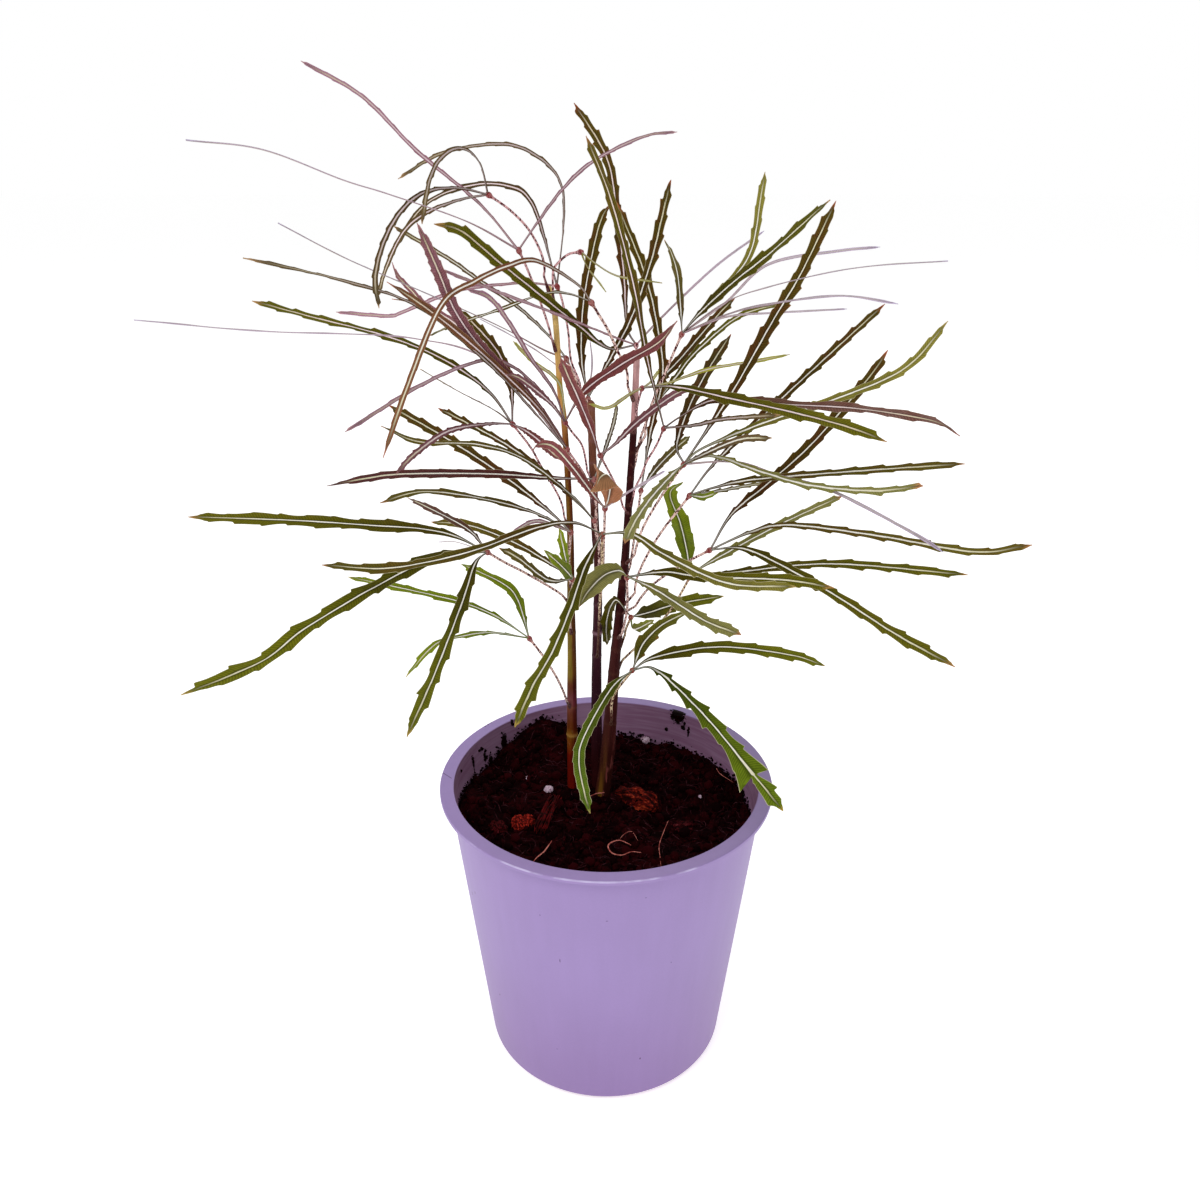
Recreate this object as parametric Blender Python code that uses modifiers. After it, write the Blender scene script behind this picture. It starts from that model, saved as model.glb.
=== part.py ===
"""A potted false aralia: a thin plastic pot filled with peat, three slender stems
and their palmate leaves with narrow, coarsely toothed leaflets.

Metres, +Z up. The origin is the middle of the pot's flat underside. The plant is
seen from -Y in the reference picture.

Every leaf is planned the way it was studied: the places where its stalk, its hub
and its leaflets run are picture positions read by eye, and a real depth or a real
leaflet length turns each of them into a point in space.
"""
import bpy
import bmesh
import math
import random
from mathutils import Vector, noise
from mathutils.bvhtree import BVHTree

MM = 0.001

# Pot, a turned plastic shell whose rim is a thin flat flange
POT_HEIGHT = 111 * MM
RIM_RADIUS = 60 * MM
MOUTH_RADIUS = 55 * MM
LIP_DEPTH = 1.6 * MM
LIP_EDGE = 0.5 * MM
WALL = 1.6 * MM
FLOOR = 2.5 * MM
NECK_RADIUS = MOUTH_RADIUS + WALL
BASE_RADIUS = 45 * MM
BASE_EDGE = 2.5 * MM
FOOT_EDGE = 0.8 * MM
POT_SIDES = 48
DRAIN_COUNT = 6
DRAIN_RADIUS = 4 * MM
DRAIN_CIRCLE = 32 * MM

# Peat
GAP = 0.3 * MM
SOIL_LEVEL = 96 * MM
# Where the peat is heaped against the pot's wall or sunk: height, place and spread in mm
SOIL_SWELLS = ((11, -29, 48, 19), (5, -56, 2, 17), (-4, 30, -8, 18))
# Lumps all over the peat: height and size in mm
SOIL_LUMPS = ((1.6, 13), (0.9, 5))
SOIL_RINGS = 7
SOIL_SIDES = 36
SOIL_SIDE_GAP = 0.5 * MM
HOLE_DEPTH = 18 * MM

# Stems
STEM_SIDES_STEP = 2

# Leaves
STALK_RADIUS = 0.85 * MM
HUB_RADIUS = 1.5 * MM
BLADE_THICKNESS = 0.7 * MM
BLADE_ROOT = 1.1 * MM
BLADE_TIP = 0.7 * MM
SHOULDER_REACH = 2.2 * MM
SHOULDER_RISE = 0.8 * MM
FARTHEST_TIP = 95 * MM

# Teeth: their pitch and number, the shares of the leaflet between which they stand, the width
# left at a notch, the share of the pitch where a tooth peaks, and how far the two edges differ
TOOTH_PITCH = 20 * MM
FEWEST_TEETH = 2
MOST_TEETH = 4
FIRST_TOOTH = 0.14
LAST_TOOTH = 0.93
NOTCH = 0.60
TOOTH_PEAK = 0.80
TOOTH_SLANT = 0.14
SHARP_BEND = math.radians(100)
CLEARANCE = 0.35 * MM
BLADE_STEPS = 24

# Ways to bend a piece clear of the others: the farthest shift of its tip and of its belly, and
# the steps in which they are tried, in whole mm
TIP_SHIFT, TIP_STEP = 36, 4
BELLY_SHIFT, BELLY_STEP = 18, 3

# The eye that looks at the plant, fitted to the pot's rim and base
EYE = Vector((-2.2, -308.0, 310.0)) * MM
PITCH = math.radians(22.85)
FOCAL = 990.0
CENTRE = 600.0
RIGHT = Vector((1, 0, 0))
VIEW = Vector((0, math.cos(PITCH), -math.sin(PITCH)))
UP = Vector((0, math.sin(PITCH), math.cos(PITCH)))

# Each kind of leaflet: width in mm, roll about its length in degrees, and the share of its
# length over which it widens from its root
KINDS = {
    "lobed": (8.6, 6, 0.78),
    "broad": (6.2, 8, 0.30),
    "old": (5.0, 6, 0.24),
    "green": (4.2, 14, 0.32),
    "rust": (4.1, -16, 0.38),
    "olive": (3.4, 20, 0.40),
    "red": (4.5, 8, 0.42),
    "mauve": (2.9, -30, 0.46),
    "thin": (2.4, 38, 0.50),
    "young": (2.6, -10, 0.40),
}
YOUNG_KINDS = ("mauve", "thin", "young", "red")
OLD_KINDS = ("old", "broad", "lobed")
SLIM_KINDS = ("thin", "young")

# Each stem: depth in mm at its foot and its top, radius in mm there, picture route upwards
STEMS = {
    "stem_left": ((18, 16), (2.2, 1.3), [
        (572, 720), (572, 660), (571, 600), (570.5, 540), (568, 480), (564, 420),
        (560, 390), (555.5, 320), (549.5, 286)]),
    "stem_middle": ((21, 18), (2.3, 1.6), [
        (596.5, 693), (597, 643), (598, 600), (598, 563), (595.4, 530), (593, 470), (591, 400)]),
    "stem_right": ((11, 12), (2.9, 1.5), [
        (608, 750), (611, 710), (615, 660), (619, 620), (622, 590), (625, 560), (629, 500),
        (633, 440), (635, 402), (637, 350)]),
}
STEM_FEET = {"stem_left": (573, 786), "stem_middle": (597, 785), "stem_right": (603, 792)}

# Each leaf: its stem, where its stalk leaves the stem, the stalk's route, its hub and the
# hub's depth in mm. Then its leaflets: kind, real length in mm (plus runs away from the eye,
# minus towards it) and the route to the tip.
LEAVES = {
    "leaf_left_crown": ("stem_left", (556, 351), [(551, 336), (540, 301), (526, 266)], (518.6, 250), 2, [
        ("mauve", 98, [(479, 203), (416, 150), (362, 96), (301, 61)]),
        ("thin", -108, [(468, 222), (391, 195), (343, 180), (264, 150), (186, 140)]),
        ("mauve", 80, [(538, 222), (563, 189), (594, 161), (643, 137), (677, 132)]),
    ]),
    "leaf_left_top": ("stem_left", (550, 292), [(544, 263), (531, 233), (511, 211)], (488, 194.5), 8, [
        ("mauve", -50, [(482, 168), (472, 153), (457, 148), (440, 159), (429, 182), (422, 224)]),
        ("mauve", -75, [(456, 188), (423, 193), (399.5, 213), (383, 244), (375, 279), (379, 308)]),
        ("mauve", 70, [(459, 200), (426, 213), (403, 233), (386, 269), (378, 297)]),
    ]),
    "leaf_left_bud": ("stem_left", (552, 302), [(553, 272), (559, 262), (569, 254)], (581, 252), 16, [
        ("young", -35, [(598.6, 266), (620, 277), (662, 283)]),
        ("young", 24, [(588, 268), (606, 292)]),
    ]),
    "leaf_left_high": ("stem_left", (569, 527),
        [(564, 515), (559, 497), (541, 466), (531, 448)], (512.5, 424), -8, [
        ("mauve", -70, [(487.5, 424), (449, 431), (416, 453), (396, 474)]),
        ("rust", 66, [(511, 385), (498, 352), (470, 320), (457, 311)]),
        ("green", 94, [(488, 391), (444, 360), (388, 337), (311, 317), (252, 301)]),
        ("thin", 60, [(494, 410), (456, 390), (420, 369)]),
        ("red", -48, [(529, 433), (544, 445), (560, 460)]),
    ]),
    "leaf_left_mid": ("stem_left", (571, 585), [(569, 560)], (571, 532), -6, [
        ("rust", 80, [(550, 512), (504, 476), (446, 438), (388, 405)]),
        ("olive", -76, [(537, 514), (487.5, 500), (424.5, 492), (380, 503)]),
        ("mauve", -46, [(537, 521), (512, 534), (506, 543)]),
    ]),
    "leaf_left_inner": ("stem_left", (572, 632), [(570, 612)], (573, 579), 4, [
        ("olive", 72, [(554, 566), (517, 544), (471, 526), (431, 522)]),
        ("old", -30, [(559, 564), (544, 550)]),
        ("olive", -56, [(548, 580), (518, 558), (499, 548)]),
        ("young", -34, [(567, 565), (563, 547), (559, 528)]),
    ]),
    "leaf_left_low": ("stem_left", (572, 602), [(562, 595), (529, 575), (504, 562)], (487, 552), -14, [
        ("green", 99, [(454, 536), (420, 529), (374, 526), (298, 521), (188, 517)]),
        ("old", -108, [(435, 558), (374, 588), (331, 613), (298, 634), (267, 659), (221, 680), (181, 695)]),
        ("old", -84, [(475, 564), (463, 601), (435, 674), (407, 737)]),
        ("olive", 60, [(471, 532), (446, 517), (408, 498)]),
        ("thin", 46, [(456, 542), (439, 542)]),
    ]),
    "leaf_left_lowest": ("stem_left", (569.5, 706), [(567, 702), (558, 680), (543, 656)], (529, 638), 0, [
        ("olive", 75, [(497, 617), (466, 604), (429, 594.5), (348, 577)]),
        ("olive", -66, [(491, 633), (460, 637), (435, 645), (406, 677)]),
        ("green", 54, [(518, 601), (503, 584), (461, 564)]),
    ]),
    "leaf_middle_crown": ("stem_middle", (591.5, 408),
        [(580, 384), (571, 360), (568, 330), (562, 300)], (557, 286), 27, [
        ("mauve", 92, [(564, 219), (560, 181), (537, 156), (502, 144), (443, 153), (398, 179)]),
        ("rust", 85, [(541, 226), (530, 200), (515, 188), (482, 184), (441, 195), (416, 215), (391, 256)]),
        ("mauve", 80, [(524, 283), (474, 287.5), (449, 293), (403, 312), (388, 316), (336, 312)]),
    ]),
    "leaf_middle_high": ("stem_middle", (592, 440), [(585, 408), (577, 382)], (566, 358), 26, [
        ("rust", 84, [(548, 335), (518, 307), (480, 281), (449, 259), (393, 226)]),
        ("thin", -100, [(544, 350), (505, 329), (455, 306), (407, 285), (343, 257), (278, 223)]),
        ("thin", 62, [(562, 368), (537, 351), (512, 336), (480, 319)]),
    ]),
    "leaf_middle_back": ("stem_middle", (593, 462), [(594, 430)], (588, 398), 34, [
        ("rust", -84, [(605, 368), (631, 319), (651, 262), (662, 218), (671, 180)]),
        ("green", 78, [(581.4, 358), (583, 306), (592, 255), (601, 220), (611, 203)]),
        ("thin", 42, [(592, 365), (590, 341)]),
    ]),
    "leaf_middle_young": ("stem_middle", (593.4, 480), [(583, 448), (572, 432)], (565, 422), 2, [
        ("red", -78, [(584, 392), (620, 366), (659, 343), (677, 321)]),
        ("mauve", -68, [(554, 391), (531, 358), (510, 324), (490, 298), (466, 289)]),
        ("young", 42, [(559, 383), (531, 360), (513, 341)]),
        ("mauve", -88, [(540, 390), (510, 365), (480, 361), (423, 384), (345, 432)]),
        ("red", -50, [(551, 403), (522, 380), (505, 374)]),
    ]),
    "leaf_middle_main": ("stem_middle", (594.3, 502), [(586, 478)], (567, 449), -8, [
        ("mauve", -94, [(545, 413), (519, 384), (480, 346), (455, 311), (439, 273), (417, 223)]),
        ("rust", -86, [(540, 410), (500, 370), (457, 332), (423, 306), (387, 282)]),
        ("olive", 82, [(549, 420), (500, 368), (449, 327), (416, 304), (392, 299)]),
        ("thin", -122, [(540, 405), (500, 368), (464, 349), (423, 340), (375, 335), (257, 331),
                        (134, 320)]),
        ("olive", -112, [(500, 375), (455, 335), (433, 316), (397, 297), (343, 281), (311, 273),
                         (243, 258)]),
        ("mauve", 84, [(510, 375), (457, 325), (425, 305), (413, 292), (398, 276), (392, 262)]),
    ]),
    "leaf_middle_side": ("stem_middle", (596, 540), [(596, 508)], (594, 479), 4, [
        ("rust", -88, [(554, 478), (492, 474), (405, 474), (363, 479), (327, 486)]),
        ("olive", 74, [(604, 452), (613, 425), (617, 405)]),
    ]),
    "leaf_middle_fan": ("stem_middle", (598, 575), [(599, 548)], (594, 520), 2, [
        ("rust", 78, [(579, 504), (545, 473), (504, 443), (438, 408)]),
        ("olive", -84, [(572, 496), (525, 460), (479, 445), (418, 442), (381, 426)]),
    ]),
    "leaf_middle_red": ("stem_right", (630, 512), [(617, 488)], (600, 455), -22, [
        ("red", -70, [(591, 428), (577, 394), (569, 377), (561, 358)]),
        ("rust", 62, [(614, 445), (640, 420), (682, 391), (707, 394)]),
    ]),
    "leaf_middle_curl": ("stem_middle", (598, 604), [(603, 570), (604, 540)], (605, 508), -12, [
        ("olive", -62, [(595, 497), (574, 469), (554, 447), (539, 444), (533, 450)]),
        ("red", -42, [(609, 497), (611, 482), (606, 475), (599, 478), (595, 487)]),
        ("thin", -56, [(627, 493), (646, 482), (665, 471)]),
    ]),
    "leaf_middle_low": ("stem_middle", (597, 655), [(600, 600), (602, 566)], (602, 534), -26, [
        ("old", -92, [(585, 567), (570, 610), (552, 653), (533, 686), (515, 727)]),
        ("olive", 96, [(574, 523), (537, 528), (480, 549), (430, 562), (380, 569), (322, 565)]),
        ("green", -84, [(632, 534), (665, 555), (726, 583), (796, 587)]),
    ]),
    "leaf_right_crown": ("stem_right", (634, 400),
        [(627, 372), (618, 352), (608, 330), (599, 315)], (591, 302), -2, [
        ("rust", -106, [(577, 284), (537, 261), (508, 266), (474, 282), (441, 306), (407, 388),
                        (383, 458)]),
        ("olive", 75, [(569, 294), (544, 294), (505, 308), (453, 326), (429, 336)]),
    ]),
    "leaf_right_top": ("stem_right", (636, 366), [(637, 358)], (636, 345), 20, [
        ("thin", 76, [(662, 317), (716, 266), (764, 231)]),
        ("mauve", -80, [(614, 337), (556, 314), (503, 294), (439, 269)]),
        ("rust", 88, [(627, 326), (624, 275), (616, 205), (606, 156), (574, 103)]),
        ("mauve", -84, [(608, 348), (579, 326), (544, 298), (499, 262), (461, 231), (434, 224)]),
    ]),
    "leaf_right_bud": ("stem_right", (633.5, 432), [(637, 408)], (642, 388), -4, [
        ("young", 56, [(668, 383), (710, 369), (752, 362), (790, 354.5)]),
        ("young", 24, [(651, 382), (659, 370)]),
        ("young", -30, [(630, 394), (608, 408), (589, 404)]),
        ("rust", -86, [(675, 387), (731, 399), (794, 413), (850, 428), (887, 442)]),
    ]),
    "leaf_right_high": ("stem_right", (632.5, 452), [(648, 415), (668, 366)], (682, 333.5), 18, [
        ("green", -80, [(702, 311), (734, 282), (772, 252), (830, 200)]),
        ("rust", 76, [(712, 300), (749, 256), (761, 196), (765, 172)]),
        ("thin", 82, [(726, 302), (769, 264), (838, 251), (880, 247)]),
        ("rust", -90, [(726, 302), (769, 287), (822, 274), (872, 266), (948, 261)]),
        ("green", -78, [(726, 315), (765, 305), (838, 296), (898, 304)]),
        ("olive", 66, [(726, 317), (772, 313), (847, 309)]),
        ("olive", 62, [(678, 280), (672, 256), (664.5, 240)]),
    ]),
    "leaf_right_back": ("stem_right", (631, 478), [(640, 440)], (650, 412), 34, [
        ("rust", 72, [(661, 381), (682, 357), (719, 314), (735, 298)]),
        ("green", 78, [(676, 377), (696, 352), (738, 317), (780, 304)]),
    ]),
    "leaf_right_main": ("stem_right", (630, 505),
        [(634, 492), (641, 476), (647, 461), (656, 446)], (664, 428), -4, [
        ("mauve", -62, [(696, 425), (724, 419), (780, 415)]),
        ("rust", -98, [(682, 416), (717, 400), (786, 405), (855, 409), (931, 421), (960, 436)]),
        ("olive", 96, [(651, 377), (643, 338), (633, 284), (611, 201), (586, 136)]),
    ]),
    "leaf_right_tall": ("stem_right", (623.5, 583), [(634, 540)], (641, 490), 28, [
        ("rust", 94, [(651, 430), (663, 375), (656, 319), (643, 269), (615, 200)]),
        ("olive", 70, [(655, 470), (672, 452), (690, 436)]),
    ]),
    "leaf_right_fan": ("stem_right", (626, 562), [(642, 530), (664, 492)], (684, 464), -16, [
        ("rust", 97, [(710, 426), (735, 388), (773, 321), (802, 272), (836, 201)]),
        ("old", -68, [(672, 475), (652, 497), (636, 520), (625, 543)]),
        ("rust", 72, [(677, 445), (689, 408), (706, 374), (731, 334)]),
        ("olive", 98, [(703, 448), (766, 422), (838, 398), (905, 368), (948, 321)]),
        ("rust", -60, [(696, 458), (738, 440), (772, 438)]),
        ("olive", -86, [(713, 456), (759, 471), (808, 485), (872, 491), (923, 486)]),
        ("mauve", -94, [(735, 462), (780, 476), (832, 491), (911, 532), (943, 552)]),
    ]),
    "leaf_right_side": ("stem_right", (627, 604), [(638, 575), (658, 537)], (690, 495), 4, [
        ("rust", 90, [(713, 465), (759, 420), (815, 368), (885, 304)]),
        ("green", -92, [(713, 488), (751, 480), (847, 472), (965, 464)]),
        ("olive", 58, [(719, 491), (751, 485), (770, 483)]),
        ("young", -22, [(703, 497), (718, 493)]),
    ]),
    "leaf_right_low": ("stem_right", (624, 612), [(649, 588), (680, 566)], (710, 550), -14, [
        ("rust", 91, [(732, 514), (769, 483), (815, 441), (868, 379), (888, 350)]),
        ("olive", -106, [(751, 532), (790, 525), (879, 536), (974, 552), (1032, 545)]),
        ("green", -95, [(739, 548), (767, 558), (831, 593), (895, 634), (955, 667)]),
    ]),
    "leaf_right_lower": ("stem_right", (614, 672), [(622, 661), (650, 634), (672, 608)], (690, 577), 12, [
        ("broad", 60, [(687, 553), (680, 523), (670, 494), (683, 482)]),
        ("old", 76, [(707, 564), (777, 526), (842, 496)]),
        ("green", -94, [(739, 572), (831, 564), (968, 575)]),
    ]),
    "leaf_right_front": ("stem_right", (620, 636), [(627, 610)], (627, 577), -18, [
        ("green", -80, [(665, 572), (703, 577), (783, 580), (834, 588)]),
        ("green", -72, [(633, 579), (656, 590), (681, 606), (707, 622), (741, 635)]),
        ("broad", -52, [(619, 571), (604, 576), (589, 591), (579, 607)]),
    ]),
    "leaf_right_inner": ("stem_right", (616.5, 648), [(625, 633)], (631, 617), 2, [
        ("old", 60, [(648, 613), (678, 604), (724, 596)]),
        ("old", -32, [(634, 629), (654, 620)]),
        ("green", 40, [(616, 600), (607, 620), (607, 645)]),
    ]),
    "leaf_right_lowest": ("stem_right", (608, 722), [(613, 698)], (632.5, 670), -6, [
        ("old", -76, [(611, 689), (584, 737), (579, 762), (584, 791), (590, 813)]),
        ("lobed", -84, [(656, 670), (703, 714), (748, 768), (783, 811)]),
        ("old", 82, [(656, 657), (719, 647), (790, 655), (825, 666)]),
        ("broad", 58, [(643, 644), (662, 625), (688, 612)]),
    ]),
}

# Loose bits lying in the peat: picture place, size along, across and upright in mm, turn in degrees
CRUMBS = {
    "perlite_left": ((548, 791), (4.2, 3.6, 3.2), 20),
    "perlite_small": ((528, 779), (2.4, 2.2, 2.0), 70),
    "perlite_right": ((645, 741), (3.8, 3.4, 3.0), 130),
    "perlite_front": ((700, 797), (2.2, 2.0, 1.8), 40),
    "bark_orange": ((524, 824), (8.6, 5.4, 3.2), 35),
    "bark_dull": ((498, 829), (7.5, 4.2, 2.8), -50),
    "bark_red": ((637, 801), (17.5, 8.5, 4.0), -32),
    "bark_right": ((684, 828), (7.0, 4.4, 2.8), 15),
}
# How unevenly they are worn, where a bark chip is cut flat, and how far their middle is raised
CRUMB_UNEVEN = 0.12
BARK_FLAT = 0.30
CRUMB_PROUD = 0.12

# Colour, roughness of each material
FINISHES = {
    "pot_plastic": ((0.38, 0.26, 0.54), 0.45),
    "peat": ((0.030, 0.018, 0.012), 0.95),
    "stem_bark": ((0.085, 0.035, 0.030), 0.60),
    "leaf_young": ((0.220, 0.100, 0.090), 0.40),
    "leaf_grown": ((0.075, 0.075, 0.020), 0.40),
    "leaf_old": ((0.100, 0.160, 0.020), 0.40),
    "perlite_grain": ((0.75, 0.72, 0.66), 0.90),
    "bark_chip": ((0.26, 0.10, 0.045), 0.85),
}


def clear_scene():
    for thing in list(bpy.data.objects):
        bpy.data.objects.remove(thing, do_unlink=True)


def new_collection(name):
    collection = bpy.data.collections.new(name)
    bpy.context.scene.collection.children.link(collection)
    return collection


def finish(name):
    material = bpy.data.materials.new(name)
    colour, roughness = FINISHES[name]
    material.use_nodes = True
    shader = material.node_tree.nodes["Principled BSDF"]
    shader.inputs["Base Color"].default_value = (*colour, 1)
    shader.inputs["Roughness"].default_value = roughness
    material.diffuse_color = (*colour, 1)
    return material


def place(name, mesh, collection, material=None):
    thing = bpy.data.objects.new(name, mesh)
    collection.objects.link(thing)
    if material:
        mesh.materials.clear()
        mesh.materials.append(material)
    return thing


def evaluated_mesh(thing):
    depsgraph = bpy.context.evaluated_depsgraph_get()
    depsgraph.update()
    return bpy.data.meshes.new_from_object(thing.evaluated_get(depsgraph), depsgraph=depsgraph)


def remove(thing):
    bpy.data.objects.remove(thing, do_unlink=True)


def smooth(thing, angle=40):
    thing.data.shade_smooth()
    thing.data.set_sharp_from_angle(angle=math.radians(angle))


def apply_boolean(thing, operand, operation):
    """Join or cut thing with every object of the operand collection, then drop those."""
    boolean = thing.modifiers.new("Boolean", "BOOLEAN")
    boolean.operation = operation
    boolean.operand_type = "COLLECTION"
    boolean.collection = operand
    boolean.solver = "EXACT"
    mesh = evaluated_mesh(thing)
    if not closed(mesh):
        boolean.solver = "MANIFOLD"
        mesh = evaluated_mesh(thing)
    thing.modifiers.remove(boolean)
    thing.data = mesh
    for other in list(operand.objects):
        remove(other)


def closed(mesh):
    """True where each edge has two faces and the mesh is one piece."""
    test = bmesh.new()
    test.from_mesh(mesh)
    sound = len(test.faces) > 0 and all(edge.is_manifold for edge in test.edges)
    test.free()
    return sound


def seen(point):
    """The picture position of a point in space."""
    ray = point - EYE
    away = ray.dot(VIEW)
    return CENTRE + FOCAL * ray.dot(RIGHT) / away, CENTRE - FOCAL * ray.dot(UP) / away


def in_space(pixel, depth):
    """The point behind a picture position, at this world depth along Y."""
    ray = VIEW + RIGHT * (pixel[0] - CENTRE) / FOCAL + UP * (CENTRE - pixel[1]) / FOCAL
    return EYE + ray * (depth - EYE.y) / ray.y


def on_peat(pixel, level):
    """The point behind a picture position, at this height."""
    ray = VIEW + RIGHT * (pixel[0] - CENTRE) / FOCAL + UP * (CENTRE - pixel[1]) / FOCAL
    return EYE + ray * (level - EYE.z) / ray.z


def curve_through(points, steps):
    """A smooth curve through the points, by the Catmull-Rom rule."""
    ends = [points[0] * 2 - points[1], *points, points[-1] * 2 - points[-2]]
    result = []
    for a, b, c, d in zip(ends, ends[1:], ends[2:], ends[3:]):
        for step in range(steps):
            t = step / steps
            result.append(0.5 * (2 * b + (c - a) * t + (2 * a - 5 * b + 4 * c - d) * t * t
                                 + (3 * b - a - 3 * c + d) * t ** 3))
    return result + [points[-1]]


def length_of(line):
    return sum((b - a).length for a, b in zip(line, line[1:]))


def along(line, share):
    """The point at this share of the line's length."""
    left = length_of(line) * min(max(share, 0), 1)
    for a, b in zip(line, line[1:]):
        span = (b - a).length
        if left <= span and span > 0:
            return a.lerp(b, left / span)
        left -= span
    return line[-1].copy()


def shares(pixels):
    """How far along the route each picture position lies, from 0 to 1."""
    total = [0.0]
    for (u, v), (p, q) in zip(pixels, pixels[1:]):
        total.append(total[-1] + math.hypot(p - u, q - v))
    return [part / total[-1] for part in total]


def route(pixels, start, end, belly=0.0):
    """Points in space behind the picture positions, with depth from start to end."""
    points = []
    for pixel, part in zip(pixels, shares(pixels)):
        depth = start + (end - start) * part + belly * math.sin(math.pi * part)
        points.append(in_space(pixel, depth))
    return points


def tip_depth(pixels, start, reach):
    """The depth of the tip that gives the leaflet its real length."""
    side = 1 if reach > 0 else -1
    near, far = 0.0, FARTHEST_TIP
    for _ in range(18):
        middle = (near + far) / 2
        if length_of(route(pixels, start, start + side * middle)) < abs(reach):
            near = middle
        else:
            far = middle
    return start + side * near


def stem_line(name):
    """The middle line of a stem, from its foot in the peat upwards."""
    (foot, top), _, pixels = STEMS[name]
    start = on_peat(STEM_FEET[name], SOIL_LEVEL)
    points = [in_space(p, foot * MM + (top - foot) * MM * k / (len(pixels) - 1))
              for k, p in enumerate(pixels)]
    below = Vector((start.x, start.y, SOIL_LEVEL - HOLE_DEPTH))
    return [below] + curve_through([start] + points, 2)


def stem_radius(name, share):
    low, high = STEMS[name][1]
    return (low + (high - low) * share) * MM


def stem_joint(name, pixel, line):
    """Where on the stem's middle line a stalk leaves it, and the stem's radius there."""
    rows = [seen(point)[1] for point in line]
    for k in range(1, len(line) - 1):
        if rows[k] >= pixel[1] >= rows[k + 1]:
            t = (rows[k] - pixel[1]) / max(rows[k] - rows[k + 1], 1e-9)
            return line[k].lerp(line[k + 1], t), stem_radius(name, (k + t) / (len(line) - 1))
    return line[-2].copy(), stem_radius(name, 1)


def stalk_line(stem, foot, pixels, hub, hub_depth, line, belly):
    """The stalk's middle line: it leaves the stem square to it, just clear of its skin."""
    joint, radius = stem_joint(stem, foot, line)
    seeing = [seen(joint), *pixels, hub]
    points = route(seeing, joint.y, hub_depth, belly)
    aim = points[1] - joint
    aim.z = 0
    if aim.length < 1 * MM:
        aim = Vector((0, points[-1].y - joint.y, 0))
    aim.normalize()
    start = joint + aim * (radius + GAP)
    shoulder = start + aim * SHOULDER_REACH + Vector((0, 0, SHOULDER_RISE))
    return [start] + curve_through([shoulder] + points[1:], 2)


def facing(hub, stem_middle):
    """Which way the leaf's upper side looks: up, outwards and a little to the eye's side."""
    outwards = Vector((hub.x - stem_middle.x, hub.y - stem_middle.y, 0))
    if outwards.length > 1e-6:
        outwards.normalize()
    to_eye = (EYE - hub).normalized()
    return (to_eye * 0.75 + Vector((0, 0, 0.55)) + outwards * 0.25).normalized()


def blade_frames(line, looks, roll, count):
    """Places, sideways and upward directions at even steps along a leaflet."""
    places = [along(line, k / (count - 1)) for k in range(count)]
    frames = []
    up = None
    for k, spot in enumerate(places):
        ahead = (places[min(k + 1, count - 1)] - places[max(k - 1, 0)]).normalized()
        wish = looks - ahead * looks.dot(ahead)
        if up is None:
            up = wish if wish.length > 0.2 else ahead.orthogonal()
        up = up - ahead * up.dot(ahead)
        up = (up.normalized() + wish * 0.6).normalized()
        turned = up * math.cos(roll) + ahead.cross(up) * math.sin(roll)
        frames.append((spot, turned.cross(ahead).normalized(), turned))
    return frames


def frame_at(frames, share):
    """Place, side and up at any share of the leaflet's length."""
    at = min(max(share, 0), 1) * (len(frames) - 1)
    k = min(int(at), len(frames) - 2)
    t = at - k
    (spot, side, up), (spot2, side2, up2) = frames[k], frames[k + 1]
    return spot.lerp(spot2, t), side.lerp(side2, t).normalized(), up.lerp(up2, t).normalized()


def half_width(kind, share):
    """Half the leaflet's width: slim at its root, full over the middle, pointed at the tip."""
    width, _, widening = KINDS[kind]
    return width * MM / 2 * min(1, 0.26 + 0.74 * share / widening) * min(1, 0.16 + 4.2 * (1 - share))


def bending(frames):
    """The whole angle through which a leaflet turns from root to tip."""
    steps = [(b[0] - a[0]).normalized() for a, b in zip(frames[::3], frames[3::3])]
    return sum(a.angle(b) for a, b in zip(steps, steps[1:]))


def blade_stations(frames, length, kind):
    """Shares of the length where the edge turns, with the half width and slant there."""
    most = FEWEST_TEETH if kind in SLIM_KINDS else MOST_TEETH
    teeth = max(FEWEST_TEETH, min(most, round(length / TOOTH_PITCH)))
    if bending(frames) > SHARP_BEND:
        teeth += 1
    pitch = (LAST_TOOTH - FIRST_TOOTH) / teeth
    slant = pitch * TOOTH_SLANT
    stations = [(0.0, BLADE_ROOT / 2, 0.0), (FIRST_TOOTH, half_width(kind, FIRST_TOOTH) * NOTCH, 0.0)]
    for k in range(teeth):
        notch = FIRST_TOOTH + pitch * k
        peak = notch + pitch * TOOTH_PEAK
        if k:
            stations.append((notch, half_width(kind, notch) * NOTCH, slant))
        stations.append((peak, half_width(kind, peak), slant))
    stations.append((LAST_TOOTH, half_width(kind, LAST_TOOTH), 0.0))
    stations.append((1.0, BLADE_TIP / 2, 0.0))
    return stations


def blade_edges(frames, length, kind, grow=0.0):
    """The left and right edge points of a toothed leaflet."""
    left, right = [], []
    for share, half, slant in blade_stations(frames, length, kind):
        for edge, sign in ((left, 1), (right, -1)):
            spot, side, _ = frame_at(frames, share + sign * slant)
            edge.append(spot + side * sign * (half + grow))
    return left, right


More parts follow.
